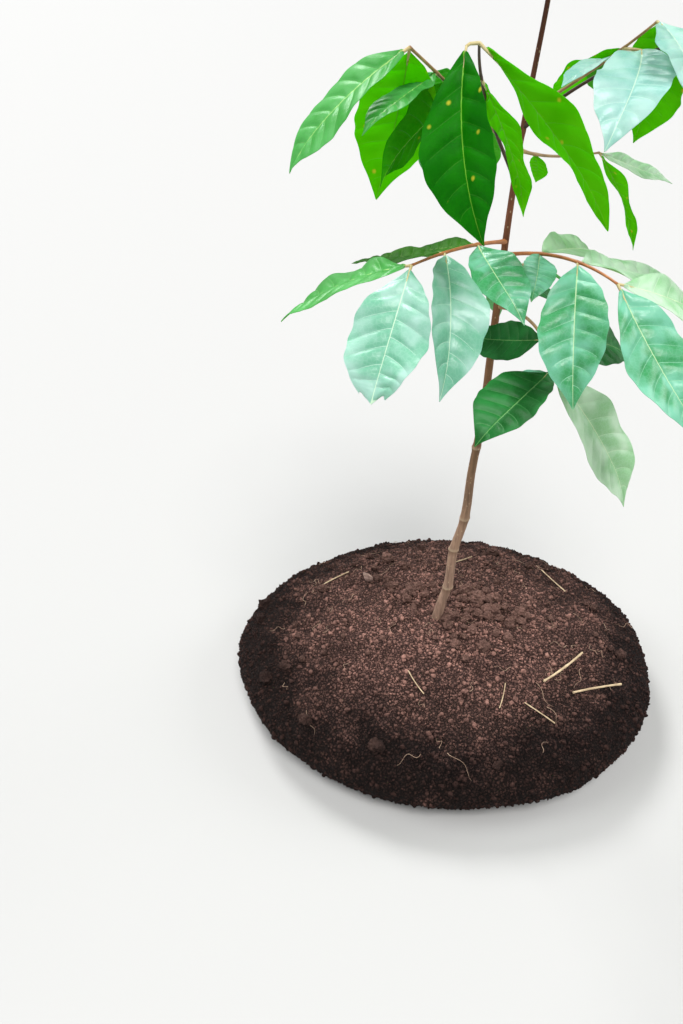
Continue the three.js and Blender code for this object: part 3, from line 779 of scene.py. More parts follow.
def tube(path, radii, sides, kind):
    """A closed round tube along a path."""
    path = np.asarray(path, float)
    travel = np.gradient(path, axis=0)
    travel /= np.linalg.norm(travel, axis=1)[:, None]
    start = np.array([0.0, 0.0, 1.0]) if abs(travel[0][2]) < 0.9 else np.array([1.0, 0.0, 0.0])
    side = np.cross(travel[0], start)
    rings = []
    for centre, ahead, radius in zip(path, travel, radii):
        side = side - ahead * side.dot(ahead)
        side /= np.linalg.norm(side)
        over = np.cross(ahead, side)
        turn = 2 * math.pi * np.arange(sides) / sides
        rings.append(centre + radius * (np.outer(np.cos(turn), side) + np.outer(np.sin(turn), over)))
    faces = ring_skin(rings)
    return np.concatenate(rings), faces, [kind] * len(faces)


# Node trees


class GrowingTree(Nodes):
    """A geometry tree with named inputs, the last of them its material."""

    def __init__(self, name, inputs):
        super().__init__(bpy.data.node_groups.new(name, "GeometryNodeTree"))
        sockets = self.tree.interface
        for label, kind in {"Geometry": "Geometry", **inputs, "Material": "Material"}.items():
            sockets.new_socket(label, in_out="INPUT", socket_type=f"NodeSocket{kind}")
        sockets.new_socket("Geometry", in_out="OUTPUT", socket_type="NodeSocketGeometry")
        self.given = self.node("NodeGroupInput").outputs
        self.place = self.node("GeometryNodeInputPosition").outputs[0]

    def moved(self, geometry, offset):
        return self.node("GeometryNodeSetPosition", {"Geometry": geometry, "Offset": offset}).outputs[0]

    def real(self, geometry):
        """Instances turned into a mesh of their own."""
        return self.node("GeometryNodeRealizeInstances", {0: geometry}).outputs[0]

    def ended(self, geometry):
        """The tree, once it ends in a real mesh with the given material."""
        feeds = {"Geometry": self.real(geometry), "Material": self.given["Material"]}
        painted = self.node("GeometryNodeSetMaterial", feeds)
        self.node("NodeGroupOutput", {0: painted.outputs[0]})
        return self.tree


def grown(piece, tree, values):
    """The plain mesh that a tree makes of a piece. Its inputs are set by their identifiers."""
    modifier = piece.modifiers.new(tree.name, "NODES")
    modifier.node_group = tree
    for item in tree.interface.items_tree:
        if item.in_out == "INPUT" and item.name in values:
            modifier[item.identifier] = values[item.name]
    mesh = finished_mesh(piece)
    piece.modifiers.remove(modifier)
    mesh.materials.clear()
    mesh.materials.append(values["Material"])
    return mesh


def finished_mesh(piece):
    """A copy of the piece's mesh with its modifiers in it."""
    graph = bpy.context.evaluated_depsgraph_get()
    return bpy.data.meshes.new_from_object(piece.evaluated_get(graph))


def relief_tree():
    """Pushes a skin in and out by soft noise and by crumbs, but not at its underside."""
    tree = GrowingTree("soil_relief", dict.fromkeys(SOIL_RELIEF, "Float"))
    given = tree.given
    swell_scale = tree.number("DIVIDE", 1.0, given["Swell Size"])
    cloud = tree.node("ShaderNodeTexNoise", {"Scale": swell_scale, "Detail": 4.0, "Roughness": 0.6})
    swell = tree.number("SUBTRACT", cloud.outputs["Fac"], 0.5)
    crumb_scale = tree.number("DIVIDE", 1.0, given["Crumb Size"])
    cells = tree.node("ShaderNodeTexVoronoi", {"Scale": crumb_scale}, feature="SMOOTH_F1")
    crumb = tree.number("SUBTRACT", 0.45, cells.outputs["Distance"])
    both = tree.number(
        "ADD",
        tree.number("MULTIPLY", swell, given["Swell"]),
        tree.number("MULTIPLY", crumb, given["Crumb"]),
    )
    above = tree.number("SUBTRACT", tree.upward(tree.place), given["Lowest"])
    reach = tree.number("MULTIPLY", both, tree.range(above, 0.0, RELIEF_GROWS))
    normal = tree.node("GeometryNodeInputNormal").outputs[0]
    return tree.ended(tree.moved(given["Geometry"], tree.vector("SCALE", normal, reach)))


def crumb_tree():
    """Scatters uneven lumps over a surface above a height, most of them near the smallest size."""
    tree = GrowingTree("crumbs", {
        "Density": "Float", "Smallest": "Float", "Largest": "Float", "Lowest": "Float",
        "Roundness": "Int", "Seed": "Int",
    })
    given = tree.given
    seed = given["Seed"]
    above = tree.node(
        "FunctionNodeCompare",
        {0: tree.upward(tree.place), 1: given["Lowest"]},
        data_type="FLOAT",
        operation="GREATER_THAN",
    )
    points = tree.node("GeometryNodeDistributePointsOnFaces", {
        "Mesh": given["Geometry"],
        "Selection": above.outputs[0],
        "Density": given["Density"],
        "Seed": seed,
    })
    # Where on the ground each lump stands, to tell later how high its points lie, for the painted shade
    # at its foot and painted light on its top
    held = tree.node("GeometryNodeCaptureAttribute")
    held.capture_items.new("VECTOR", "Ground")
    tree.feed(held, {0: points.outputs["Points"], 1: tree.place})
    lump = tree.node("GeometryNodeMeshIcoSphere", {"Radius": 0.5, "Subdivisions": given["Roundness"]})
    full_turn = (2 * math.pi,) * 3
    turn = tree.node("FunctionNodeRandomValue", {1: full_turn, "Seed": seed}, data_type="FLOAT_VECTOR")
    chance = tree.node("FunctionNodeRandomValue", {"Seed": seed}, data_type="FLOAT")
    rare = tree.number("POWER", chance.outputs[1], CRUMB_RARITY)
    size = tree.range(rare, 0.0, 1.0, given["Smallest"], given["Largest"])
    lumps = tree.node("GeometryNodeInstanceOnPoints", {
        "Points": held.outputs[0],
        "Instance": lump.outputs[0],
        "Rotation": turn.outputs[0],
        "Scale": tree.vector("SCALE", CRUMB_SQUASH, size),
    })
    uneven = tree.node("ShaderNodeTexNoise", {"Scale": CRUMB_DENTS, "Detail": 1.0})
    dent = tree.vector("SUBTRACT", uneven.outputs["Color"], MIDDLE_OF_NOISE)
    dented = tree.moved(tree.real(lumps.outputs[0]), tree.vector("SCALE", dent, CRUMB_DENT))
    over_ground = tree.upward(tree.vector("SUBTRACT", tree.place, held.outputs[1]))
    rise = tree.range(over_ground, CRUMB_SUNK, given["Smallest"])
    feeds = {"Geometry": dented, "Name": CRUMB_RISE, "Value": rise}
    kept = tree.node("GeometryNodeStoreNamedAttribute", feeds, data_type="FLOAT", domain="POINT")
    return tree.ended(kept.outputs[0])


# Root ball


def soil_swell(angle, share):
    """Swells of the soil, from -1 to 1, round the ball and down its side."""
    return (0.5 * np.sin(3 * angle + 5 * share + 0.6)
            + 0.3 * np.sin(5 * angle - 9 * share + 2.1)
            + 0.2 * np.sin(9 * angle + 14 * share + 4))


def soil_knoll(right, back):
    """Knolls of the dome, from -1 to 1."""
    ridge = np.sin(right / 9.6 + 1.4 * np.sin(back / 31))
    hollow = np.cos(back / 10.8 + 1.2 * np.sin(right / 27))
    wide = np.sin((right + 0.6 * back) / 14.5 + 0.9) * np.sin((back - 0.5 * right) / 13 + 2)
    return 0.6 * (ridge * hollow) + 0.4 * wide


def ball_point(angle, share, height):
    lump = BALL_LUMP * soil_swell(angle, share) * (height > 0)
    grow = share + lump / (BALL_WIDTH / 2)
    x = BALL_WIDTH / 2 * grow * np.cos(angle)
    y = BALL_DEPTH / 2 * grow * np.sin(angle)
    rim = min(1, (1 - share) / (1 - KNOLL_RIM))
    knoll = KNOLL_HEIGHT * soil_knoll(x, y) * (height > BALL_WAIST) * rim
    return np.stack([x, y, height + (0.5 * lump * (1 - share) + knoll) * (height > 0)], axis=-1)


def dome_point(right, back):
    """The point of the dome over a place, without its finer relief."""
    share = math.hypot(right / (BALL_WIDTH / 2), back / (BALL_DEPTH / 2))
    upper = [row for row in reversed(BALL_OUTLINE) if row[1] >= BALL_WAIST]
    height = float(smooth(upper, min(share, 0.99)))
    angle = math.atan2(back / BALL_DEPTH, right / BALL_WIDTH)
    return np.array([right, back, ball_point(angle, share, height)[2]])


def ball_skin():
    """The plain ball: rings up its outline, closed at the crown."""
    steps = np.linspace(0, len(BALL_OUTLINE) - 1, BALL_RINGS)
    numbered = [(i, *row) for i, row in enumerate(BALL_OUTLINE)]
    shares = smooth(numbered, steps, 1)
    heights = np.maximum(smooth(numbered, steps, 2), 0)
    angle = 2 * math.pi * np.arange(BALL_SIDES) / BALL_SIDES
    rings = [ball_point(angle, share, height) for share, height in zip(shares, heights)]
    for ring, height in zip(rings, heights):
        ring[:, 2] -= min(SOIL_SUNK, height)
    faces = ring_skin(rings)
    return np.concatenate(rings), faces, ["soil"] * len(faces)


def clod_skin(right, back, size, random):
    """A knobbly lump of earth, sunk a little into the dome."""
    turn = math.pi * random()
    shift = Vector((random(), random(), random())) * 50
    squash = np.array([1, mix(CLOD_DEEP, random()), mix(CLOD_HIGH, random())])
    centre = dome_point(right, back) + [0, 0, CLOD_RAISED - CLOD_SUNK * size * 0.5]
    rings = []
    for r in range(CLOD_ROWS + 1):
        tilt = math.pi * (r + 0.15) / (CLOD_ROWS + 0.3) - math.pi / 2
        ring = []
        for i in range(CLOD_SIDES):
            a = 2 * math.pi * i / CLOD_SIDES
            way = np.array([math.cos(tilt) * math.cos(a), math.cos(tilt) * math.sin(a), math.sin(tilt)])
            knob = sum(rise * noise.noise(Vector(way * scale) + shift) for scale, rise in CLOD_KNOBS)
            x, y, z = way * squash * (size / 2 * (1 + knob))
            across = x * math.cos(turn) - y * math.sin(turn)
            behind = x * math.sin(turn) + y * math.cos(turn)
            ring.append(centre + [across, behind, z])
        rings.append(ring)
    faces = ring_skin(rings)
    return np.array(rings).reshape(-1, 3), faces, ["clod"] * len(faces)


def ball_place(angle, share):
    """Right and back of a place on the ball."""
    return BALL_WIDTH / 2 * share * math.cos(angle), BALL_DEPTH / 2 * share * math.sin(angle)


def all_clods(random):
    """Every clod on the ball: right, back, width."""
    clods = list(SEEN_CLODS)
    back = seeded_random(BACK_CLOD_SEED)
    for _ in range(BACK_CLODS):
        angle = math.radians(mix(BACK_CLOD_HEADINGS, back()))
        share = mix(BACK_CLOD_BAND, back())
        clods.append((*ball_place(angle, share), mix(BACK_CLOD_SIZE, back() ** 2)))
    for count, right, behind, reach_right, reach_back in HEAPS:
        for _ in range(count):
            angle = 2 * math.pi * random()
            share = random() ** 0.7
            x = right + reach_right * share * math.cos(angle)
            y = behind + reach_back * share * math.sin(angle)
            clods.append((x, y, mix(HEAP_CLOD_SIZE, random() ** 2)))
    for _ in range(SMALL_CLODS):
        angle = 2 * math.pi * random()
        share = mix(SMALL_CLOD_BAND, random())
        clods.append((*ball_place(angle, share), mix(SMALL_CLOD_SIZE, random() ** 2)))
    return clods


def make_clods(material):
    random = seeded_random(CLOD_SEED)
    clods = [clod_skin(*clod, random) for clod in all_clods(random)]
    piece = make_piece("soil_clods", clods, {"clod": material})
    # How high each point lies in its clod, from 0 to 1, for painted shade at its foot and painted light
    # on top
    rises = [(points[:, 2] - points[:, 2].min()) / np.ptp(points[:, 2]) for points, _, _ in clods]
    rise = piece.data.attributes.new(CRUMB_RISE, "FLOAT", "POINT")
    rise.data.foreach_set("value", np.concatenate(rises))
    settle(piece, "soil", "root_ball")


def crumbly_ball(material):
    """The ball, welded into one skin of small squares and then given its relief."""
    draft = make_piece("draft_ball", [ball_skin()], {"soil": material})
    weld = draft.modifiers.new("weld", "REMESH")
    weld.mode = "VOXEL"
    weld.voxel_size = SOIL_GRAIN * MM
    weld.use_smooth_shade = True
    welded = finished_mesh(draft)
    bpy.data.objects.remove(draft)
    ball = add_piece("soil_ball", welded, BALL_CREASE)
    ball.data = grown(ball, relief_tree(), {**SOIL_RELIEF, "Material": material})
    return ball


def loose_crumbs(ball, material):
    """The layers of crumbs that lie on the ball."""
    tree = crumb_tree()
    pieces = []
    for name, density, smallest, largest, roundness, seed in CRUMB_LAYERS:
        mesh = grown(ball, tree, {
            "Density": density, "Smallest": smallest, "Largest": largest, "Lowest": BARE_RIM * MM,
            "Roundness": roundness, "Seed": seed, "Material": material,
        })
        pieces.append(add_piece(name, mesh, CRUMB_CREASE))
    return pieces


def make_soil():
    """The clods, the ball's crumbly skin, and loose crumbs all over it."""
    materials = {kind: soil_material(*values) for kind, values in SOILS.items()}
    make_clods(materials["clod"])
    ball = crumbly_ball(materials["soil"])
    for piece in (ball, *loose_crumbs(ball, materials["crumb"])):
        settle(piece, "soil", "root_ball")


# Litter


def along_dome(right, back, heading, length, steps, lift, bend, random):
    """Points that lie along the dome from a middle point, with a slight wander."""
    way = direction(heading, 0)
    across = direction(heading + 90, 0)
    phase = 2 * math.pi * random()
    points = []
    for k in range(steps):
        at = length * (k / (steps - 1) - 0.5)
        wander = bend * math.sin(phase + 2.6 * math.pi * k / steps)
        x, y, _ = np.array([right, back, 0]) + way * at + across * wander
        point = dome_point(x, y)
        point[2] += lift + 0.4 * bend * math.cos(phase + 4 * math.pi * k / steps)
        points.append(point)
    return points


def across_dome(right, back, heading, length, steps, lift, random):
    """Points of a stiff bit that lies on the highest places under it."""
    way = direction(heading, 0) * length / 2
    aside = direction(heading + 90, 0) * STRAW_BEND * mix((-1, 1), random())
    start = dome_point(right - way[0], back - way[1])
    end = dome_point(right + way[0], back + way[1])
    points = []
    for share in np.linspace(0, 1, steps):
        points.append(start + (end - start) * share + aside * 4 * share * (1 - share))
    rise = max(dome_point(point[0], point[1])[2] - point[2] for point in points)
    return [point + [0, 0, lift + max(0, rise)] for point in points]


def straw_shells(random):
    shells = []
    for right, back, heading, length, width in STRAWS:
        path = across_dome(right, back, heading, length, STRAW_RINGS, STRAW_LIFT, random)
        radii = [width / 2 * (STRAW_THINNEST + STRAW_UNEVEN * random()) for _ in path]
        shells.append(tube(path, radii, STRAW_SIDES, "straw"))
    return shells


def rootlet_shells(random):
    shells = []
    ends = [k / (ROOTLET_RINGS - 1) for k in range(ROOTLET_RINGS)]
    for _ in range(ROOTLETS):
        angle = 2 * math.pi * random()
        place = ball_place(angle, mix(ROOTLET_BAND, random() ** 0.6))
        length = mix(ROOTLET_LENGTH, random() ** 2)
        heading = 360 * random()
        path = along_dome(*place, heading, length, ROOTLET_RINGS, ROOTLET_LIFT, ROOTLET_BEND, random)
        radii = [ROOTLET_WIDTH / 2 * (1 - ROOTLET_TAPER * end) for end in ends]
        shells.append(tube(path, radii, ROOTLET_SIDES, "rootlet"))
    return shells


def flake_shells():
    """Dry flakes, widest below the middle and drawn out to a point."""
    shells = []
    for right, back, heading, pitch, length, width in FLAKES:
        foot = dome_point(right, back)
        steps = np.linspace(0, 1, FLAKE_RINGS)
        path = [foot + direction(heading, pitch) * length * step for step in steps]
        radii = [width / 2 * (0.12 + 0.88 * math.sin(math.pi * step ** 0.6)) for step in steps]
        points, faces, kinds = tube(path, radii, FLAKE_SIDES, "flake")
        points[:, 1] = foot[1] + FLAKE_FLATNESS * (points[:, 1] - foot[1])
        shells.append((points, faces, kinds))
    return shells


def make_litter():
    """Dry stalk bits, fine pale rootlets and dry flakes that lie in the soil's surface."""
    materials = {kind: dry_material(kind, *values) for kind, values in DRY.items()}
    random = seeded_random(LITTER_SEED)
    settle(make_piece("straw_bits", straw_shells(random), materials), "bark", "root_ball")
    settle(make_piece("rootlets", rootlet_shells(random), materials), "bark", "root_ball")
    settle(make_piece("dry_flakes", flake_shells(), materials), "bark", "root_ball")


# Stem


def fading(distance, reach):
    """From 1 at no distance to almost nothing at twice the reach."""
    return math.exp(-((distance / reach) ** 2))


def facing(angle, heading):
    """From 1 on the side that looks to a heading to 0 a quarter turn away."""
    return max(0, math.cos(angle - math.radians(heading)))


def stem_point(height):
    return FOOT + [float(smooth(STEM_LINE, height, 1)), float(smooth(STEM_LINE, height, 2)), height]


def stem_radius(height):
    scar = max(fading(height - at, SCAR_REACH) for at, _ in SCARS)
    return float(smooth(STEM_LINE, height, 3)) / 2 * (1 + SCAR_RISE * scar)


def stem_swell(height, angle, leaves):
    """How far leaf cushions, scars and bark grain stand out of the round stem, in millimetres."""
    swell = 0
    for leaf in leaves:
        near = fading(height - leaf["height"] + CUSHION_DROP, CUSHION_REACH)
        if near > 0.01:
            side = facing(angle, leaf["heading"])
            swell += CUSHION_RISE * stem_radius(leaf["height"]) * near * side ** 2
    for at, heading in SCARS:
        near = fading(height - at, SCAR_BUD_REACH)
        if near > 0.01:
            swell += SCAR_BUD_RISE * near * facing(angle, heading) ** 3
        if 0 <= height - at < 5 * SCAR_LIP_REACH:
            swell += SCAR_LIP * math.exp(-(height - at) / SCAR_LIP_REACH)
    radius = stem_radius(height)
    place = Vector((math.cos(angle) * radius, math.sin(angle) * radius, height * 0.1))
    grain = noise.noise(place * 0.55) + 0.5 * noise.noise(place * 1.5)
    return swell + BARK_GRAIN * radius * grain


def make_stem(leaves):
    bottom = STEM_LINE[0][0]
    top = STEM_LINE[-1][0]
    rings = []
    for height in np.linspace(bottom, top, round((top - bottom) / STEM_STEP) + 1):
        centre = stem_point(height)
        ring = []
        for i in range(STEM_SIDES):
            angle = 2 * math.pi * i / STEM_SIDES
            radius = stem_radius(height) + stem_swell(height, angle, leaves)
            ring.append(centre + [radius * math.cos(angle), radius * math.sin(angle), 0])
        rings.append(ring)
    faces = ring_skin(rings)
    shell = (np.array(rings).reshape(-1, 3), faces, ["bark"] * len(faces))
    settle(make_piece("stem_bark", [shell], {"bark": bark_material()}), "bark", "stem")


# Compound leaves


def stalk_point(leaf, share):
    hump = 4 * share * (1 - share)
    return (stem_point(leaf["height"])
            + direction(leaf["heading"], 0) * leaf["reach"] * share
            + direction(leaf["heading"] + 90, 0) * leaf["bow"] * hump
            + np.array([0, 0, leaf["lift"] * share + leaf["arch"] * hump]))


def stalk_shell(leaf):
    """The stalk, with a cushion beside the stem and a slight knee at each pair of leaflets."""
    thickest = min(STALK_WIDTH[0], STALK_OF_STEM * stem_radius(leaf["height"]))
    widths = (thickest, min(STALK_WIDTH[1], STALK_TAPER * thickest))
    knees = sorted({leaflet["share"] for leaflet in leaf["leaflets"]})
    path = []
    radii = []
    for share in np.linspace(0, 1, STALK_RINGS) ** 1.15:
        swell = 1 + STALK_CUSHION * fading(share * leaf["reach"], STALK_CUSHION_REACH)
        swell += sum(KNEE_RISE * fading((share - knee) * leaf["reach"], KNEE_REACH) for knee in knees)
        path.append(stalk_point(leaf, share))
        radii.append(mix(widths, share) / 2 * swell)
    return tube(path, radii, STALK_SIDES, leaf["stalk"])


def leaflet_frame(leaf, leaflet):
    """Starts of a leaflet's stalklet and of its blade, and the ways along, across and over it."""
    heading = leaflet["heading"]
    travel = direction(heading, leaflet["pitch"])
    turn = math.radians(leaflet["roll"])
    level = direction(heading - 90, 0)
    side = level * math.cos(turn) + direction(heading, leaflet["pitch"] + 90) * math.sin(turn)
    normal = np.cross(side, travel)
    root = stalk_point(leaf, leaflet["share"])
    base = root + direction(leaflet["neck_heading"], 0) * leaflet["neck"]
    return root, base, travel, side, normal


def midrib(leaflet, base, travel, side, normal, share):
    """Points along a leaflet's midrib, arched over its chord and bowed aside."""
    hump = 4 * share * (1 - share)
    length = leaflet["length"]
    return (base + np.multiply.outer(share * length, travel)
            + np.multiply.outer(leaflet["arch"] * length * hump, normal)
            + np.multiply.outer(leaflet["bow"] * hump, side))


def stalklet_shell(leaf, leaflet):
    """The short swollen joint that carries a leaflet."""
    root, *blade = leaflet_frame(leaf, leaflet)
    neck = blade[0] - root
    path = [root]
    if np.linalg.norm(neck) > 1:
        path += [root + neck * k / 4 for k in range(1, 4)]
    path += list(midrib(leaflet, *blade, np.array(STALKLET_PLACES)))
    width = min(STALKLET_WIDTH, STALKLET_OF_LENGTH * leaflet["length"])
    radii = [width / 2 * (1.12 - 0.75 * end ** 2) for end in np.linspace(0, 1, len(path))]
    return tube(path, radii, STALKLET_SIDES, "joint")


def vein_rows(length):
    """Rows along a leaflet: place on the midrib, shift from a vein's middle, and the vein's side."""
    places = np.linspace(*VEIN_SPAN, 2 * SIDE_VEINS)
    rows = [(BLADE_OUTLINE[0][0], 0, None), (0.05, 0, None)]
    half = VEIN_HALF / length
    for k, place in enumerate(places):
        hand = -1 if k % 2 else 1
        rows.append((place, -half, None))
        rows.append((place, half, hand))
        last = k + 1 == len(places)
        following = 1.0 if last else places[k + 1]
        steps = TIP_ROWS + 1 if last else BETWEEN_VEINS + 1
        for j in range(1, steps):
            rows.append((place + (following - place) * j / steps, 0, None))
    rows.append((1.0, 0, None))
    return places, rows


def between(places, at):
    """How far a place lies between its two neighbours, from 0 to 1."""
    marks = np.concatenate([[0.0], places, [1.0]])
    i = np.clip(np.searchsorted(marks, at) - 1, 0, len(marks) - 2)
    return np.clip((at - marks[i]) / (marks[i + 1] - marks[i]), 0, 1)


def torn_off(s, across, torn):
    """Places along a blade, drawn in so that it ends in a ragged edge."""
    ragged = torn + 0.03 * np.sin(4 * across + 1.2) + 0.007 * np.sin(13 * across)
    drawn_in = TORN_FROM + (s - TORN_FROM) * (ragged - TORN_FROM) / (1 - TORN_FROM)
    return np.where(s > TORN_FROM, drawn_in, s)


def quilted(s, out, hands, start, places, length):
    """Rise of the skin between the side veins of either half."""
    bulges = np.zeros_like(s)
    for hand in (1, -1):
        own = places[(0 if hand == 1 else 1)::2]
        bulge = np.sin(math.pi * between(own, start)) ** 0.8
        bulges = np.where(hands == hand, bulge, bulges)
    reach = np.clip(out / 0.3, 0, 1) * (1 - 0.85 * out ** 3)
    return QUILT * length * bulges * reach * np.clip((1 - s) / 0.15, 0, 1)


def waved(s, out, hands, length, random):
    """Rise of the wavy margin of either half."""
    wave = np.zeros_like(s)
    for hand in (1, -1):
        size = mix(WAVE_SIZE, random()) * length
        turns = mix(WAVE_TURNS, random())
        phase = random()
        swing = size * np.sin(2 * math.pi * (turns * s + phase))
        swing = swing * out ** 1.6 * np.sin(math.pi * s) ** 0.5
        wave = np.where(hands == hand, swing, wave)
    return wave


def blade_shell(leaf, leaflet, random, torn=None):
    """A thin closed blade with a midrib, side veins that arch forward and a quilted skin."""
    length = leaflet["length"]
    half_width = leaflet["width"] / 2
    base, travel, side, normal = leaflet_frame(leaf, leaflet)[1:]
    places, rows = vein_rows(length)
    start = np.array([r[0] for r in rows])[:, None]
    shift = np.array([r[1] for r in rows])[:, None]
    # Columns from one margin to the other. The midrib's edges stand on either side of the middle one
    columns = np.concatenate([-np.array(ACROSS[::-1]), [0.0], np.array(ACROSS)])
    middle = len(ACROSS)
    hands = np.sign(columns)
    hands[middle - 1] = -1
    hands[middle + 1] = 1
    rib = mix(RIB_HALF, start) * min(1, length / FULL_RIB_LENGTH)
    first = BLADE_OUTLINE[0][0]
    half_here = smooth(BLADE_OUTLINE, np.clip(start, first, 1)) * half_width
    edge = np.minimum(rib / np.maximum(half_here, 0.2), 0.55)
    out = edge + (1 - edge) * np.abs(columns)
    out[:, middle - 1] = edge[:, 0]
    out[:, middle + 1] = edge[:, 0]
    out[:, middle] = 0
    s = start + shift * (1 - 0.75 * out) + VEIN_SWEEP * out ** 1.3 * 4 * start * (1 - start)
    s = np.clip(s, first, 1)
    if torn is not None:
        s = torn_off(s, out * hands, torn)
    half = smooth(BLADE_OUTLINE, s) * half_width
    scallop = 1 + SCALLOP * np.sin(2 * math.pi * (SIDE_VEINS * s + random()))
    x = hands * out * half * np.where(out > 0.9, scallop, 1)
    # Rise over the plane of the midrib
    fold = leaflet["fold"] * half * out ** 1.15
    quilt = quilted(s, out, hands, start, places, length)
    wave = waved(s, out, hands, length, random)
    curl = mix(TIP_CURL, random()) * length * np.clip((s - 0.7) / 0.3, 0, 1) ** 2
    twist = math.radians(mix(TWIST, random())) * (s - 0.35)
    rise = fold + quilt + wave - curl
    along = midrib(leaflet, base, travel, side, normal, s)
    over = normal * np.cos(twist)[..., None] - side * np.sin(twist)[..., None]
    beside = side * np.cos(twist)[..., None] + normal * np.sin(twist)[..., None]
    sheet = along + beside * x[..., None] + over * rise[..., None]
    # The midrib has a groove at each edge above and a ridge below. The side veins show more faintly
    thin = BLADE_SHEET / 2
    crest = (columns == 0) * (RIB_RIDGE * rib)
    on_vein = (shift != 0) * np.clip(1 - out, 0, 1)
    on_rib_edge = np.abs(out - edge) < 1e-9
    top = sheet + over * (thin - VEIN_GROOVE * on_vein - RIB_GROOVE * on_rib_edge)[..., None]
    under = sheet - over * (thin + VEIN_RIDGE * on_vein + crest)[..., None]
    return closed_sheet(top, under, rows, leaflet["finish"])


def closed_sheet(top, under, rows, kind):
    """Faces of a sheet from its upper and lower grids, with the kind of each."""
    count, wide = top.shape[:2]
    points = np.concatenate([top.reshape(-1, 3), under.reshape(-1, 3)])
    below = count * wide
    middle = wide // 2
    faces = []
    kinds = []
    for r in range(count - 1):
        vein_hand = rows[r + 1][2]
        for c in range(wide - 1):
            a = r * wide + c
            quad = (a, a + 1, a + wide + 1, a + wide)
            hand = 1 if c >= middle else -1
            if c in (middle - 1, middle):
                face_kind = under_kind = f"{kind}_rib"
            elif vein_hand == hand and VEIN_REACH <= c < wide - 1 - VEIN_REACH:
                face_kind = under_kind = f"{kind}_vein"
            else:
                face_kind = kind
                under_kind = f"{kind}_under"
            faces.append(quad)
            kinds.append(face_kind)
            faces.append(tuple(below + i for i in reversed(quad)))
            kinds.append(under_kind)
    right = [r * wide + wide - 1 for r in range(count)]
    left = [r * wide for r in reversed(range(count))]
    tip = [(count - 1) * wide + c for c in reversed(range(wide))]
    base = list(range(wide))
    for line in (right, tip, left, base):
        for a, b in zip(line, line[1:]):
            faces.append((a, below + a, below + b, b))
            kinds.append(kind)
    return points, faces, kinds


def crown_leaf(number, random):
    """A row like those of the seen leaves."""
    share = number / (CROWN_LEAVES - 1)
    heading = CROWN_HEADING + CROWN_TURN * number
    reach = mix(CROWN_REACH, share)
    longest = mix(CROWN_LENGTH, share)
    leaflets = []
    for place, pair_length, spread in zip(CROWN_PAIRS, CROWN_PAIR_LENGTH, CROWN_SPREAD):
        for hand in (-1, 1):
            length = longest * pair_length * mix(CROWN_UNEVEN, random())
            leaflets.append((
                place,
                length,
                length * CROWN_WIDTH_SHARE,
                heading + hand * (spread + CROWN_JITTER * mix((-1, 1), random())),
                CROWN_PITCH + CROWN_JITTER * mix((-1, 1), random()),
                -hand * mix(CROWN_ROLL, random()),
                CROWN_FINISH[number],
            ))
    return (f"leaf_crown_{number + 1}", CROWN_FIRST + CROWN_SPACING * number, heading, reach,
            reach * mix(CROWN_LIFT, share), CROWN_ARCH * reach, 0, "tan", leaflets)


def named_leaf(row):
    """The values of a leaf and of its leaflets by name, with the usual ones where none are given."""
    leaf = dict(zip(LEAF_VALUES, row))
    leaflets = []
    for given in leaf["leaflets"]:
        leaflet = {**USUAL_LEAFLET, **dict(zip(LEAFLET_VALUES, given))}
        for own in given[len(LEAFLET_VALUES):]:
            leaflet.update(own)
        leaflets.append(leaflet)
    return {**leaf, "leaflets": leaflets}


def all_leaves():
    random = seeded_random(CROWN_SEED)
    rows = SEEN_LEAVES + [crown_leaf(i, random) for i in range(CROWN_LEAVES)]
    return [named_leaf(row) for row in rows]


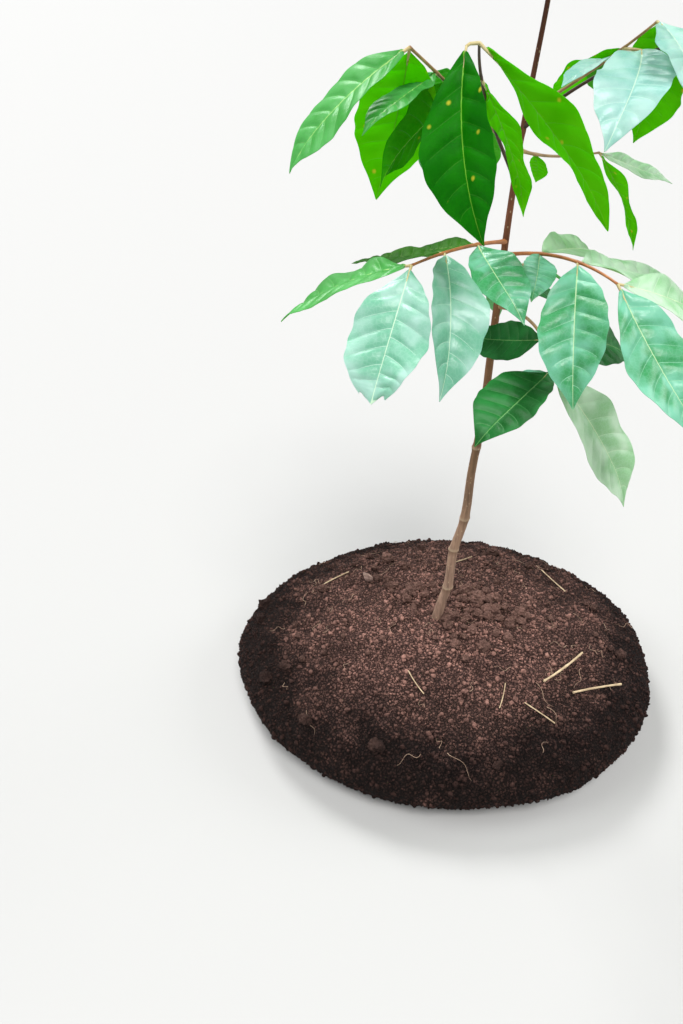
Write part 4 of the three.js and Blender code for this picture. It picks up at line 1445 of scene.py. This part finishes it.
def make_leaves(leaves):
    """Blades of each leaf as one piece, and the stalks of all of them as another."""
    blades = leaf_materials()
    stalks = {name: stalk_material(f"stalk_{name}", *tones) for name, tones in STALKS.items()}
    stalk_shells = []
    for number, leaf in enumerate(leaves):
        shells = []
        stalk_shells.append(stalk_shell(leaf))
        for i, leaflet in enumerate(leaf["leaflets"]):
            random = seeded_random(1000 + 97 * number + 13 * i)
            random()
            shells.append(blade_shell(leaf, leaflet, random, TORN_TIPS.get((leaf["name"], i))))
            stalk_shells.append(stalklet_shell(leaf, leaflet))
        piece = make_piece(leaf["name"].replace("leaf", "blades"), shells, blades)
        settle(piece, "leaf", leaf["name"])
    piece = make_piece("leaf_stalks", stalk_shells, stalks)
    settle(piece, "leaf", *(leaf["name"] for leaf in leaves))


# Studio


def make_floor():
    half = FLOOR_HALF
    corners = [(-half, -half, 0), (half, -half, 0), (half, half, 0), (-half, half, 0)]
    mesh = bpy.data.meshes.new("floor")
    mesh.from_pydata(corners, [], [(0, 1, 2, 3)])
    finish = Finish("floor")
    mesh.materials.append(finish.painted(FLOOR_TONE, 0.9))
    floor = bpy.data.objects.new("floor", mesh)
    bpy.context.scene.collection.objects.link(floor)


def make_sky_light(name, heading, over_horizon, width, strength, tint):
    """A broad soft light that reaches the whole floor evenly."""
    lamp = bpy.data.lights.new(name, "SUN")
    lamp.angle = math.radians(width)
    lamp.energy = strength
    lamp.color = tint
    light = bpy.data.objects.new(name, lamp)
    light.rotation_euler = Vector(direction(heading, over_horizon)).to_track_quat("Z", "Y").to_euler()
    bpy.context.scene.collection.objects.link(light)


def make_studio():
    make_floor()
    world = bpy.data.worlds.new("studio")
    world.use_nodes = True
    background = world.node_tree.nodes["Background"]
    background.inputs["Color"].default_value = WORLD_TINT
    background.inputs["Strength"].default_value = WORLD_LIGHT
    bpy.context.scene.world = world
    for sky_light in SKY_LIGHTS:
        make_sky_light(*sky_light)
    settings = bpy.context.scene.view_settings
    settings.view_transform = "Standard"
    settings.look = "None"
    settings.exposure = 0.0


def make_camera():
    data = bpy.data.cameras.new("camera")
    data.lens = data.sensor_width * FOCAL_PIXELS / max(PHOTO_SIZE)
    data.clip_end = 400
    camera = bpy.data.objects.new("camera", data)
    camera.location = (FOOT + CAMERA_FROM_FOOT) * MM
    camera.rotation_euler = (math.radians(90 - CAMERA_DOWN), 0, 0)
    bpy.context.scene.collection.objects.link(camera)
    bpy.context.scene.camera = camera


make_camera()
make_studio()
leaves = all_leaves()
make_stem(leaves)
make_leaves(leaves)
make_soil()
make_litter()
